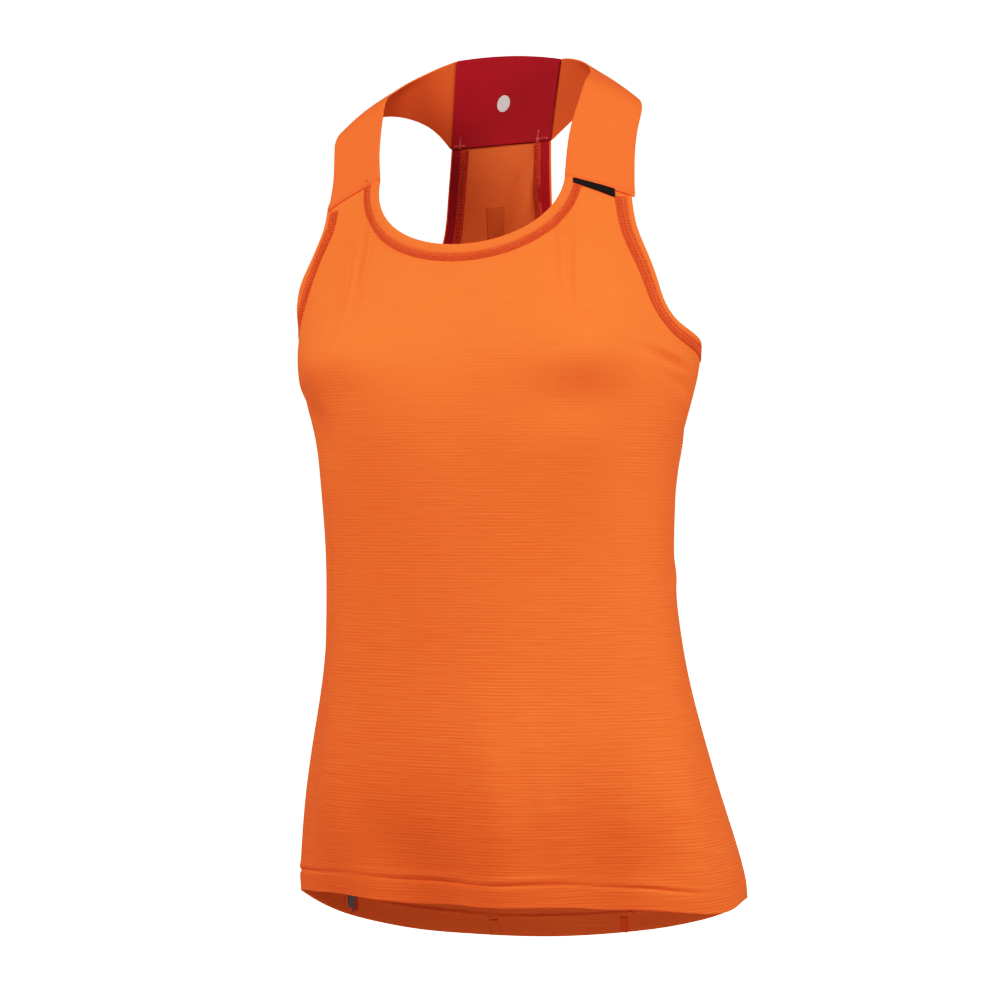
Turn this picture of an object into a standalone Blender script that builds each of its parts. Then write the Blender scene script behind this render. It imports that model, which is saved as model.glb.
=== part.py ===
"""Sleeveless racerback running top for a woman, filled out as if it were worn.

The garment faces -Y, the wearer's left is +X and +Z is up. The origin is where the
shoulders carry the two straps. Every piece of cloth that a maker would cut is a thin
closed wall of its own, and each is worked out from the same smooth body form.

Tables and functions work in millimetres; add_wall turns the points into metres.
"""

import bpy
import numpy as np

METRES = 0.001

# Cloth and seams
WALL = 1.2
SEAM_GAP = 0.3
TRIM_WALL = 1.0
LABEL_WALL = 1.0
SEAM_GAP_ANGLE = 0.07

# The body form: one row for each height, from the neck down to below the tail
SECTIONS = (
    # height, centre x, centre y, half width, front depth, back depth
    (0, 0, 20, 131, 58, 26),
    (-40, 0, 20, 135, 60, 28),
    (-75, 0, 20, 139.5, 65, 34),
    (-110, 0, 20, 143, 71, 43),
    (-145, 1, 21.5, 146, 83, 57),
    (-180, 3, 24, 148, 96, 71),
    (-215, 4, 25, 142, 102, 82),
    (-250, 3.5, 24, 133.5, 102, 88),
    (-290, 3, 22.5, 129, 99, 90),
    (-330, 3, 22, 127.3, 96, 90),
    (-370, 4, 23, 129.3, 97, 93),
    (-415, 5.5, 25, 135, 100, 98),
    (-460, 7, 28, 144.5, 105, 105),
    (-505, 9, 33.5, 154.5, 112, 114),
    (-550, 11.5, 42, 163.5, 119, 124),
    (-595, 13, 47, 169, 125, 131),
    (-640, 14, 50, 172, 129, 136),
)
SQUARENESS = 0.03

# The bust: the cloth is carried by two soft rises and bridges the hollow between them
BUST_ANGLE = 38
BUST_HEIGHT = -197
BUST_RISE = 13
BUST_SPREAD_ANGLE = 21
BUST_SPREAD_ABOVE = 42
BUST_SPREAD_BELOW = 60

# The largest folds: a positive depth stands out, a negative one sinks in
FOLDS = (
    # angle, height, lean from upright, half length, half width, depth
    (-23, -528, 12, 62, 24, -6.0),
    (8, -500, -4, 78, 22, 4.0),
    (37, -532, -14, 60, 22, -5.5),
    (66, -505, -8, 70, 20, 3.5),
    (-62, -470, 6, 85, 19, -4.0),
    (-88, -440, 4, 80, 16, 3.0),
    (76, -200, 66, 24, 6, 2.2),
    (79, -216, 68, 22, 6, 1.8),
    (-76, -204, -66, 22, 7, 2.0),
    (118, -235, -52, 46, 10, 3.0),
    (-116, -230, 50, 44, 10, 3.2),
    (124, -330, -74, 40, 12, 3.0),
    (-126, -338, 72, 44, 12, 3.2),
    (162, -520, 4, 95, 18, 4.5),
    (188, -500, -3, 110, 20, -4.5),
    (212, -525, -6, 90, 18, 4.2),
    (143, -500, 5, 80, 17, -4.0),
)
MM_PER_DEGREE = 2.3

# The wearer stands with one hip out, so the shoulders slope a little
SHOULDER_SLOPE = 0.05
SLOPE_STARTS = -260
SLOPE_FULL = -60

# Hems: level in front; the tail drops behind the side seams, lowest at TAIL_ANGLE
FRONT_HEM = -566
FRONT_HEM_DIP = 3
TAIL_ANGLE = 192
TAIL_DROP = 57
TAIL_HALF_ANGLE = 84
TAIL_CORNER = 30
TAIL_CORNER_SHARE = 0.45
HEM_FADE = 1 / 3

# Side seams, half-angles from centre front
SIDE_AT_HEM = 114
SIDE_AT_UNDERARM = 108
UNDERARM = -180

# Armhole edges, from the underarm up
FRONT_ARMHOLE = (
    # half-angle from the panel's middle, height
    (SIDE_AT_UNDERARM, UNDERARM),
    (97, -176),
    (86, -169),
    (75, -161),
    (66, -149),
    (61.5, -131),
    (57, -109),
    (54.0, -89),
    (54.6, -72.2),
)
BACK_ARMHOLE = (
    # half-angle from the panel's middle, height
    (180 - SIDE_AT_UNDERARM, UNDERARM),
    (60, -177),
    (48, -168),
    (37, -152),
    (28, -132),
    (21.5, -111),
    (17.7, -90),
    (16.6, -62),
    (16.4, -24.3),
)
RACER_LEAN = 3.4
RACER_LEAN_STARTS = -176
RACER_LEAN_FULL = -95
RACER_LEAN_TOP_SHARE = 0.45

# Neckline and strap seam of the front, as half-angles and heights
NECK_ANGLE = 29.8
NECK_TOP = -58.6
NECK_BOTTOM = -106.5
STRAP_SEAM_AT = 0.62
TOP_PULL_POWER = 1.4

# A strap, from the front seam over the shoulder to the yoke: its two edges
STRAP = (
    # share of the way along, neck edge x, y and z, arm edge x, y and z
    (0.16, 71.5, -30, -32, 115.4, -11, -48),
    (0.33, 74.5, -15, -4, 116.0, -5.5, -24.5),
    (0.44, 75.8, -3, 13.0, 115.2, 0.5, -12.5),
    (0.52, 75.4, 9, 19.5, 111.5, 8, -4.5),
    (0.64, 69.5, 24, 27.5, 98, 21, 4),
    (0.78, 58.5, 35.5, 34, 78, 33.5, 4.5),
    (0.90, 48.5, 42, 37.5, 56, 42.5, -6.5),
)
STRAP_CROWN = 2.0
SEAM_PULL_POWER = 6

# The yoke behind the neck
YOKE_HALF_TOP = 40
YOKE_TOP_Y = 46
YOKE_TOP_BOW = 5.5
YOKE_TOP_Z = 38.8
YOKE_TOP_RISE = 3.8
YOKE_TOP_LEAN = 2.4
YOKE_BOW = 1.6

# Trims
NECK_BINDING_WIDTH = 7.5
ARM_BINDING_WIDTH = 6.0
FACING_WIDTH = 12.5
FACING_INSET = 0.6
FACING_CLEARANCE = 0.4
LABEL_START = 0.15
LABEL_END = 0.73
LABEL_DROP = 5.5
TAB_ANGLE = 115.6
TAB_WIDTH_ANGLE = 3.5
TAB_ABOVE_HEM = 3
TAB_LENGTH = 17

# Grid counts, and the small steps that slopes are measured over
SLOPE_STEP_ANGLE = 0.5
SLOPE_STEP_HEIGHT = 0.5
SHARP_ANGLE = 50
SIDE_ROWS = 25
ARMHOLE_ROWS = 14
STRAP_COLUMNS_ACROSS = 5
NECK_COLUMNS = 11
BACK_COLUMNS = 26
STRAP_ROWS = 26
YOKE_ROWS = 7
STRIP_COLUMNS = 2
LABEL_COLUMNS = 5

CLOTH_ORANGE = (0.93, 0.205, 0.032)
SHADED_ORANGE = (0.62, 0.085, 0.015)
FACING_RED = (0.35, 0.012, 0.016)
LABEL_BLACK = (0.012, 0.009, 0.009)
TAB_GREY = (0.15, 0.10, 0.10)


# ---------------------------------------------------------------- curves

def spline(knots, values, at):
    """Natural cubic spline through the values at the knots, read at the given places."""
    knots = np.asarray(knots, float)
    values = np.asarray(values, float)
    step = np.diff(knots)
    slope = (np.diff(values, axis=0).T / step).T
    count = len(knots)
    matrix = np.eye(count)
    inner = np.arange(1, count - 1)
    matrix[inner, inner - 1] = step[:-1]
    matrix[inner, inner] = 2 * (step[:-1] + step[1:])
    matrix[inner, inner + 1] = step[1:]
    right = np.zeros_like(values)
    right[1:-1] = 6 * np.diff(slope, axis=0)
    bend = np.linalg.solve(matrix, right)
    at = np.asarray(at, float)
    left = np.clip(np.searchsorted(knots, at, side="right") - 1, 0, count - 2)
    width = step[left]
    ahead = (knots[left + 1] - at) / width
    if values.ndim > 1:
        ahead = ahead[..., None]
        width = width[..., None]
    behind = 1 - ahead
    return (ahead * values[left] + behind * values[left + 1]
            + ((ahead ** 3 - ahead) * bend[left]
               + (behind ** 3 - behind) * bend[left + 1]) * width ** 2 / 6)


def along_table(table, count, mm_per_unit):
    """Evenly spaced points, by length, on the smooth curve through a table's rows."""
    rows = np.asarray(table, float)
    length = np.hypot(*(np.diff(rows, axis=0) * mm_per_unit).T)
    knots = np.concatenate(([0], np.cumsum(length))) / length.sum()
    return spline(knots, rows, np.linspace(0, 1, count))


# ---------------------------------------------------------------- body form

def smooth_step(value):
    """0 below 0, 1 above 1, and a smooth rise between."""
    value = np.clip(value, 0, 1)
    return value * value * (3 - 2 * value)


def bust_rise(angle, height):
    """Height of the two soft rises of the bust."""
    spread = np.where(height > BUST_HEIGHT, BUST_SPREAD_ABOVE, BUST_SPREAD_BELOW)
    across = (np.abs(angle) - BUST_ANGLE) / BUST_SPREAD_ANGLE
    return BUST_RISE * np.exp(-0.5 * (across ** 2 + ((height - BUST_HEIGHT) / spread) ** 2))


def fold_rise(angle, height):
    """Sum of the folds: each is a soft ridge or trough along a leaning line."""
    total = np.zeros(np.broadcast(angle, height).shape)
    for fold_angle, fold_height, lean, half_length, half_width, depth in FOLDS:
        around = (angle - fold_angle + 180) % 360 - 180
        sideways = around * MM_PER_DEGREE
        upward = height - fold_height
        tilt = np.radians(lean)
        along = upward * np.cos(tilt) - sideways * np.sin(tilt)
        across = upward * np.sin(tilt) + sideways * np.cos(tilt)
        total = total + depth * np.exp(-(along / half_length) ** 2 - (across / half_width) ** 2)
    return total


def figure(angle, height):
    """Points of the body form at angles round from centre front, and heights."""
    angle, height = np.broadcast_arrays(np.asarray(angle, float), np.asarray(height, float))
    table = np.asarray(SECTIONS, float)[::-1]
    centre_x, centre_y, half_width, front, back = np.moveaxis(
        spline(table[:, 0], table[:, 1:], height), -1, 0)
    turn = np.radians(angle)
    depth = np.where(np.cos(turn) > 0, front, back)
    fuller = 1 + SQUARENESS * np.sin(2 * turn) ** 2
    outward_x = np.sin(turn) / half_width
    outward_y = -np.cos(turn) / depth
    size = np.hypot(outward_x, outward_y)
    signed = (angle + 180) % 360 - 180
    rise = bust_rise(signed, height) + fold_rise(angle, height)
    x = centre_x + half_width * np.sin(turn) * fuller + rise * outward_x / size
    y = centre_y - depth * np.cos(turn) * fuller + rise * outward_y / size
    return np.stack((x, y, height), axis=-1)


def figure_slopes(angle, height):
    """The steps that the body form takes for a degree of angle and for a millimetre of height."""
    around = (figure(angle + SLOPE_STEP_ANGLE, height)
              - figure(angle - SLOPE_STEP_ANGLE, height)) / (2 * SLOPE_STEP_ANGLE)
    upward = (figure(angle, height + SLOPE_STEP_HEIGHT)
              - figure(angle, height - SLOPE_STEP_HEIGHT)) / (2 * SLOPE_STEP_HEIGHT)
    return around, upward


def figure_normal(angle, height):
    """Unit normals of the body form, facing out."""
    return unit(np.cross(*figure_slopes(angle, height)))


def unit(vectors):
    """The vectors at length 1."""
    return vectors / np.linalg.norm(vectors, axis=-1, keepdims=True)


def hem_height(angle):
    """Height of the hem: a quick drop at each side, then a slow one to the tail's middle."""
    angle = np.asarray(angle, float)
    around = np.abs((angle - TAIL_ANGLE + 180) % 360 - 180)
    corner = smooth_step((TAIL_HALF_ANGLE - around) / TAIL_CORNER)
    bowl = np.cos(np.radians(np.minimum(around, 90))) ** 2
    tail = TAIL_CORNER_SHARE * corner + (1 - TAIL_CORNER_SHARE) * bowl
    dip = FRONT_HEM_DIP * (1 - np.cos(np.radians(angle)) ** 2)
    return FRONT_HEM - dip - TAIL_DROP * tail


# ---------------------------------------------------------------- panels

def side_edge(side, half_at_hem, armhole):
    """Half-angle and height of one edge of a panel: side seam, then armhole."""
    share = np.linspace(0, 1, SIDE_ROWS + 1)
    hem = hem_height(side * SIDE_AT_HEM)
    seam_angle = half_at_hem + (armhole[0][0] - half_at_hem) * share
    seam = np.stack((seam_angle, hem + (armhole[0][1] - hem) * share), axis=-1)
    upper = along_table(armhole, ARMHOLE_ROWS + 1, (MM_PER_DEGREE, 1))[1:]
    edge = np.concatenate((seam, upper))
    return edge[:, :1] - SEAM_GAP_ANGLE, edge[:, 1:]


def panel_plan(edges, middle_angle, middle_top, across):
    """Signed half-angles and heights of a panel whose rows fan from its edges to its middle."""
    (half_angle, low_side), (_, high_side) = edges
    spread = half_angle * across
    share = (across + 1) / 2
    edge_height = low_side * (1 - share) + high_side * share
    middle = np.linspace(hem_height(middle_angle), middle_top, len(half_angle))[:, None]
    height = edge_height + (middle - edge_height) * (1 - across ** 2)
    rows = np.linspace(0, 1, len(half_angle))[:, None]
    fade = np.clip(1 - rows / HEM_FADE, 0, 1) ** 2
    return spread, height + fade * (hem_height(middle_angle + spread[:1]) - height[:1])


def front_across():
    """Column places of the front, -1 at one edge to 1 at the other."""
    neck = np.linspace(0, STRAP_SEAM_AT, NECK_COLUMNS + 1)
    strap = np.linspace(STRAP_SEAM_AT, 1, STRAP_COLUMNS_ACROSS + 1)[1:]
    half = np.concatenate((neck, strap))
    return np.concatenate((-half[:0:-1], half))


def front_top(across):
    """Half-angle and height of the front's top edge: neckline, then strap seam."""
    out_angle, out_height = FRONT_ARMHOLE[-1]
    place = np.abs(across)
    turn = np.clip(place / STRAP_SEAM_AT, 0, 1) * np.pi / 2
    share = np.clip((place - STRAP_SEAM_AT) / (1 - STRAP_SEAM_AT), 0, 1)
    angle = NECK_ANGLE * np.sin(turn) + (out_angle - NECK_ANGLE) * share
    height = NECK_TOP - (NECK_TOP - NECK_BOTTOM) * np.cos(turn) + (out_height - NECK_TOP) * share
    return np.sign(across) * angle, height


def front_plan():
    """Angles and heights of the front panel's grid."""
    across = front_across()
    edges = [side_edge(side, SIDE_AT_HEM, FRONT_ARMHOLE) for side in (-1, 1)]
    angle, height = panel_plan(edges, 0, NECK_BOTTOM, across)
    top_angle, top_height = front_top(across)
    share = np.linspace(-SIDE_ROWS / ARMHOLE_ROWS, 1, len(angle))
    pull = np.clip(share, 0, 1)[:, None] ** TOP_PULL_POWER
    angle = angle + pull * (top_angle - angle[-1])
    height = height + pull * (top_height - height[-1])
    return angle, height


def racer_lean(height):
    """How far, in degrees, the narrow back leans to the wearer's right."""
    span = RACER_LEAN_FULL - RACER_LEAN_STARTS
    rise = smooth_step((height - RACER_LEAN_STARTS) / span)
    fall = smooth_step((height - RACER_LEAN_FULL) / span)
    return RACER_LEAN * rise * (1 - (1 - RACER_LEAN_TOP_SHARE) * fall)


def back_plan():
    """Angles and heights of the back panel's grid."""
    across = np.linspace(-1, 1, BACK_COLUMNS + 1)
    edges = [side_edge(side, 180 - SIDE_AT_HEM, BACK_ARMHOLE) for side in (1, -1)]
    angle, height = panel_plan(edges, 180, BACK_ARMHOLE[-1][1], across)
    return 180 + angle + racer_lean(height), height


def grid_normals(grid):
    """Unit normals of a grid whose first axis runs up and second runs round."""
    upward = np.gradient(grid, axis=0)
    around = np.gradient(grid, axis=1)
    return unit(np.cross(around, upward))


# ---------------------------------------------------------------- straps and yoke

def strap_grid(side, front_seam, yoke_top, yoke_bottom):
    """A strap as a ruled band between its two edge curves, crowned over the shoulder."""
    rows = np.asarray(STRAP, float)
    flip = np.array([side, 1, 1])
    neck = np.concatenate((front_seam[:1], rows[:, 1:4] * flip, [yoke_top]))
    arm = np.concatenate((front_seam[-1:], rows[:, 4:7] * flip, [yoke_bottom]))
    knots = np.concatenate(([0], rows[:, 0], [1]))
    along = np.linspace(0, 1, STRAP_ROWS + 1)
    neck_edge = spline(knots, neck, along)[:, None, :]
    arm_edge = spline(knots, arm, along)[:, None, :]
    across = np.linspace(0, 1, STRAP_COLUMNS_ACROSS + 1)[None, :, None]
    grid = neck_edge * (1 - across) + arm_edge * across
    start = front_seam[None] - grid[:1]
    grid = grid + start * (1 - along[:, None, None]) ** SEAM_PULL_POWER
    crown = STRAP_CROWN * np.sin(np.pi * along) ** 2
    lift = crown[:, None, None] * np.sin(np.pi * across)
    return grid + lift * grid_normals(grid) * side


def yoke_grid(bottom):
    """The yoke: from the top of the narrow back up to the neck edge, bowed a little."""
    across = np.linspace(-1, 1, len(bottom))
    bow = 1 - across ** 2
    top = np.stack((YOKE_TOP_LEAN - YOKE_HALF_TOP * across,
                    YOKE_TOP_Y + YOKE_TOP_BOW * bow,
                    YOKE_TOP_Z + YOKE_TOP_RISE * bow), axis=-1)
    share = np.linspace(0, 1, YOKE_ROWS + 1)[:, None, None]
    grid = bottom[None] * (1 - share) + top[None] * share
    grid[..., 1] += YOKE_BOW * np.sin(np.pi * share[..., 0]) * bow[None]
    return grid


def moved_up(points, distance):
    """The points moved straight up."""
    return points + np.array([0, 0, distance])


# ---------------------------------------------------------------- trims

def inset_strip(edge_angle, edge_height, start, width, inner_side):
    """Angles and heights of a strip along a panel's edge, set in from it by 'start'.

    The step across the edge is the cross product of its direction and the surface's
    normal, turned into a change of angle and height by the surface's two slopes.
    """
    ahead = unit(np.gradient(figure(edge_angle, edge_height), axis=0))
    inward = np.cross(ahead, figure_normal(edge_angle, edge_height)) * inner_side
    slopes = np.stack(figure_slopes(edge_angle, edge_height), axis=-2)
    square = slopes @ np.swapaxes(slopes, -1, -2)
    change = np.linalg.solve(square, slopes @ inward[..., None])[..., 0]
    offsets = (start + width * np.linspace(0, 1, STRIP_COLUMNS + 1))[:, None]
    return edge_angle + offsets * change[:, 0], edge_height + offsets * change[:, 1]


def add_laid(name, plan, wall, offset, finish):
    """A wall laid on the body form at the given angles and heights, moved out by 'offset'."""
    angle, height = plan
    grid = figure(angle, height)
    out = figure_normal(angle, height)
    if (grid_normals(grid) * out).sum() < 0:
        grid = grid[::-1]
        out = out[::-1]
    add_wall(name, grid, out, wall, offset, finish)


# ---------------------------------------------------------------- solids

def material(name, colour, roughness):
    """A plain cloth or label material."""
    made = bpy.data.materials.new(name)
    made.use_nodes = True
    shader = made.node_tree.nodes["Principled BSDF"]
    shader.inputs["Base Color"].default_value = (*colour, 1)
    shader.inputs["Roughness"].default_value = roughness
    shader.inputs["Metallic"].default_value = 0
    return made


def stand(points):
    """Slope the shoulders: upper points rise on the wearer's left and sink on the right."""
    share = smooth_step((points[..., 2] - SLOPE_STARTS) / (SLOPE_FULL - SLOPE_STARTS))
    posed = points.copy()
    posed[..., 2] += SHOULDER_SLOPE * points[..., 0] * share
    return posed


def add_wall(name, grid, normals, wall, offset, finish):
    """A closed wall: the grid's points moved out and in along the normals, with rims."""
    outer = stand(grid + normals * (offset + wall / 2)) * METRES
    inner = stand(grid + normals * (offset - wall / 2)) * METRES
    rows, columns = grid.shape[:2]
    index = np.arange(rows * columns).reshape(rows, columns)
    quads = np.stack((index[:-1, :-1], index[:-1, 1:], index[1:, 1:], index[1:, :-1]), -1)
    faces = [quads.reshape(-1, 4), (quads + rows * columns).reshape(-1, 4)[:, ::-1]]
    rim = np.concatenate((index[0], index[1:, -1], index[-1, -2::-1], index[-2:0:-1, 0]))
    rim_under = rim + rows * columns
    faces.append(np.stack((rim_under, np.roll(rim_under, -1), np.roll(rim, -1), rim), -1))
    points = np.concatenate((outer.reshape(-1, 3), inner.reshape(-1, 3)))
    mesh = bpy.data.meshes.new(name)
    mesh.from_pydata(points.tolist(), [], np.concatenate(faces).tolist())
    mesh.materials.append(finish)
    mesh.shade_smooth()
    mesh.set_sharp_from_angle(angle=np.radians(SHARP_ANGLE))
    made = bpy.data.objects.new(name, mesh)
    bpy.context.scene.collection.objects.link(made)


def clear_scene():
    """Remove the objects that the scene starts with."""
    for thing in list(bpy.data.objects):
        bpy.data.objects.remove(thing)


def main():
    clear_scene()
    orange = material("orange_cloth", CLOTH_ORANGE, 0.75)
    inner_orange = material("orange_yoke_cloth", SHADED_ORANGE, 0.75)
    red = material("red_facing", FACING_RED, 0.8)
    black = material("black_label", LABEL_BLACK, 0.6)
    grey = material("grey_tab", TAB_GREY, 0.6)
    trim_offset = WALL / 2 + SEAM_GAP + TRIM_WALL / 2

    # Front and back
    front_angle, front_height = front_plan()
    front = figure(front_angle, front_height)
    add_wall("front_panel", front, figure_normal(front_angle, front_height), WALL, 0, orange)
    back_angle, back_height = back_plan()
    back = figure(back_angle, back_height)
    add_wall("back_panel", back, figure_normal(back_angle, back_height), WALL, 0, orange)

    # Yoke and its red facing
    yoke = yoke_grid(moved_up(back[-1], SEAM_GAP))
    yoke_out = grid_normals(yoke)
    add_wall("back_yoke", yoke, yoke_out, WALL, 0, inner_orange)
    add_wall("yoke_facing", yoke, yoke_out, TRIM_WALL, -trim_offset, red)

    # Straps
    for name, side in (("strap_left", 1), ("strap_right", -1)):
        seam = front[-1, -1 - STRAP_COLUMNS_ACROSS:] if side > 0 else (
            front[-1, STRAP_COLUMNS_ACROSS::-1])
        yoke_side = yoke[:, 0] if side > 0 else yoke[:, -1]
        outward = np.array([side * SEAM_GAP, 0, 0])
        strap = strap_grid(side, moved_up(seam, SEAM_GAP), yoke_side[-1] + outward,
                           yoke_side[0] + outward)
        if side < 0:
            strap = strap[:, ::-1]
        add_wall(name, strap, grid_normals(strap), WALL, 0, orange)

    # Bindings on the front's neck and armhole edges
    neck = slice(STRAP_COLUMNS_ACROSS, -STRAP_COLUMNS_ACROSS)
    strip = inset_strip(front_angle[-1, neck], front_height[-1, neck], 0, NECK_BINDING_WIDTH, 1)
    add_laid("neck_binding", strip, TRIM_WALL, trim_offset, orange)
    for name, column, inner_side in (("armhole_binding_left", -1, -1),
                                     ("armhole_binding_right", 0, 1)):
        strip = inset_strip(front_angle[SIDE_ROWS:, column], front_height[SIDE_ROWS:, column],
                            0, ARM_BINDING_WIDTH, inner_side)
        add_laid(name, strip, TRIM_WALL, trim_offset, orange)

    # Red tapes inside the narrow back and its armholes
    for name, column, inner_side in (("racer_facing_left", 0, 1),
                                     ("racer_facing_right", -1, -1)):
        strip = inset_strip(back_angle[SIDE_ROWS:, column], back_height[SIDE_ROWS:, column],
                            FACING_INSET, FACING_WIDTH, inner_side)
        add_laid(name, strip, TRIM_WALL, -trim_offset - FACING_CLEARANCE, red)

    # Folded label under the wearer's left strap seam, and the tab inside the hem
    seam = slice(-1 - STRAP_COLUMNS_ACROSS, None)
    places = np.linspace(0, 1, STRAP_COLUMNS_ACROSS + 1)
    label_places = np.linspace(LABEL_START, LABEL_END, LABEL_COLUMNS + 1)
    label_angle = np.interp(label_places, places, front_angle[-1, seam])
    label_top = np.interp(label_places, places, front_height[-1, seam])
    label_height = label_top - LABEL_DROP * np.linspace(1, 0, STRIP_COLUMNS + 1)[:, None]
    add_laid("shoulder_label", (label_angle + 0 * label_height, label_height), LABEL_WALL,
             WALL / 2 + SEAM_GAP + LABEL_WALL / 2, black)
    tab_angle = -TAB_ANGLE - TAB_WIDTH_ANGLE * np.linspace(1, 0, STRIP_COLUMNS + 1)
    tab_height = (hem_height(tab_angle) + TAB_ABOVE_HEM
                  + TAB_LENGTH * np.linspace(0, 1, STRIP_COLUMNS + 1)[:, None])
    add_laid("hem_tab", (tab_angle + 0 * tab_height, tab_height), TRIM_WALL, -trim_offset, grey)


main()
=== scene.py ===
"""Racerback running top: fine cloth, folds, hems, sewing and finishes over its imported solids.

The garment faces -Y, the wearer's left is +X and +Z is up. Every cloth piece is worked out
from one smooth body form, given by an angle round from centre front and a height. The form is
the solids' own. The hem, front armholes, straps, yoke, label and tab were set closer to the
photo and lie up to 15 mm off the solids'. Form tables and functions work in millimetres and
degrees; put_mesh turns the points into metres.
"""

import bpy
import numpy as np
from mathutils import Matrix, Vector


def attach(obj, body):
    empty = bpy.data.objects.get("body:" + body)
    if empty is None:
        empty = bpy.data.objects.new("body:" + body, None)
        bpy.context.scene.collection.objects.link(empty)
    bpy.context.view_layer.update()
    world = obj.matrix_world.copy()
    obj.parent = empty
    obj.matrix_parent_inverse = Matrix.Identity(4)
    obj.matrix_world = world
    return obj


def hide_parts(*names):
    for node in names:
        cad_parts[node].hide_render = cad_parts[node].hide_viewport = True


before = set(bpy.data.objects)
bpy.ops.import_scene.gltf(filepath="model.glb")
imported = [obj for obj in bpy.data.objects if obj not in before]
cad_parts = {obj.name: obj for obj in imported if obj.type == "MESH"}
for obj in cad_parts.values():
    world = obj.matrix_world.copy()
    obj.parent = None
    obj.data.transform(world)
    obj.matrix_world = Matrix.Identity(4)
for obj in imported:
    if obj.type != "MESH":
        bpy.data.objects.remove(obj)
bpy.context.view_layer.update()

bl_info = {
    "name": "Racerback running top",
    "version": (1, 0, 0),
    "blender": (4, 5, 0),
    "location": "3D View > Sidebar > Running Top",
    "description": "Builds a sleeveless running top from one body form: cloth, sewing and finishes",
    "category": "Object",
}

METRES = 0.001

# ---------------------------------------------------------------- body form and outlines

WALL = 1.2
SEAM_GAP = 0.3
TRIM_WALL = 1.0
SEAM_GAP_ANGLE = 0.07

SECTIONS = (
    # height, centre x, centre y, half width, front depth, back depth
    (0, 0, 20, 131, 58, 26),
    (-40, 0, 20, 135, 60, 28),
    (-75, 0, 20, 139.5, 65, 34),
    (-110, 0, 20, 143, 71, 43),
    (-145, 1, 21.5, 146, 83, 57),
    (-180, 3, 24, 148, 96, 71),
    (-215, 4, 25, 142, 102, 82),
    (-250, 3.5, 24, 133.5, 102, 88),
    (-290, 3, 22.5, 129, 99, 90),
    (-330, 3, 22, 127.3, 96, 90),
    (-370, 4, 23, 129.3, 97, 93),
    (-415, 5.5, 25, 135, 100, 98),
    (-460, 7, 28, 144.5, 105, 105),
    (-505, 9, 33.5, 154.5, 112, 114),
    (-550, 11.5, 42, 163.5, 119, 124),
    (-595, 13, 47, 169, 125, 131),
    (-640, 14, 50, 172, 129, 136),
)
SQUARENESS = 0.03

BUST_ANGLE = 38
BUST_HEIGHT = -197
BUST_RISE = 13
BUST_SPREAD_ANGLE = 21
BUST_SPREAD_ABOVE = 42
BUST_SPREAD_BELOW = 60
BUST_BRIDGE_ANGLE = 6

FOLDS = (
    # angle, height, lean from upright, half length, half width, depth
    (-23, -528, 12, 62, 24, -6.0),
    (8, -500, -4, 78, 22, 4.0),
    (37, -532, -14, 60, 22, -5.5),
    (66, -505, -8, 70, 20, 3.5),
    (-62, -470, 6, 85, 19, -4.0),
    (-88, -440, 4, 80, 16, 3.0),
    (76, -200, 66, 24, 6, 2.2),
    (79, -216, 68, 22, 6, 1.8),
    (-76, -204, -66, 22, 7, 2.0),
    (118, -235, -52, 46, 10, 3.0),
    (-116, -230, 50, 44, 10, 3.2),
    (124, -330, -74, 40, 12, 3.0),
    (-126, -338, 72, 44, 12, 3.2),
    (162, -520, 4, 95, 18, 4.5),
    (188, -500, -3, 110, 20, -4.5),
    (212, -525, -6, 90, 18, 4.2),
    (143, -500, 5, 80, 17, -4.0),
)
MM_PER_DEGREE = 2.3

SHOULDER_SLOPE = 0.05
SLOPE_STARTS = -260
SLOPE_FULL = -60

HEM = (
    # angle, height
    (0, -568.6), (15, -567.6), (35, -568.3), (48, -570.2), (58, -573.2), (70, -575.9),
    (80, -575.0), (90, -572.4), (100, -573.0), (108, -574.9), (116, -579.6), (124, -587.4),
    (132, -595.0), (146, -606.4), (157, -614.0), (177, -622.8), (192, -625.4), (208, -624.2),
    (223, -619.1), (236, -611.0), (248, -602.0), (261, -590.8), (272, -581.6), (282, -575.4),
    (297, -570.4), (314, -568.0), (326, -567.7), (342, -568.3), (360, -568.6),
)
HEM_FADE = 1 / 3

SIDE_AT_HEM = 114
SIDE_AT_UNDERARM = 108
UNDERARM = -180

FRONT_ARMHOLES = {
    # side, 1 the wearer's left: half-angle from the panel's middle, height
    1: ((SIDE_AT_UNDERARM, UNDERARM), (96, -177), (84, -173), (73.6, -168.4), (67, -162.8),
        (62.6, -152.3), (60.8, -140), (59, -128), (56, -114), (53.1, -99), (51.8, -78.6)),
    -1: ((SIDE_AT_UNDERARM, UNDERARM), (97, -177), (87, -171.5), (77, -163.5), (70.5, -153),
         (67, -140), (65, -128), (61, -109), (56.6, -94), (53.7, -83.5), (52.9, -70.8)),
}
BACK_ARMHOLE = (
    # half-angle from the panel's middle, height
    (180 - SIDE_AT_UNDERARM, UNDERARM),
    (60, -177),
    (48, -168),
    (37, -152),
    (28, -132),
    (21.5, -111),
    (17.7, -90),
    (16.6, -62),
    (16.4, -24.3),
)
RACER_LEAN = 3.4
RACER_LEAN_STARTS = -176
RACER_LEAN_FULL = -95
RACER_LEAN_TOP_SHARE = 0.45

NECK_ANGLE = 29.8
NECK_TOP = -58.6
NECK_BOTTOM = -106.5
STRAP_SEAM_AT = 0.62
STRAP_SEAM_NECK_ENDS = {
    # side: height of the seam's inner end
    1: -63.4,
    -1: -53.8,
}
STRAP_OVERHANG = {
    # side: share of its width by which the strap passes the seam's outer end
    1: 0.05,
    -1: 0.0,
}
TOP_PULL_POWER = 1.4

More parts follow.
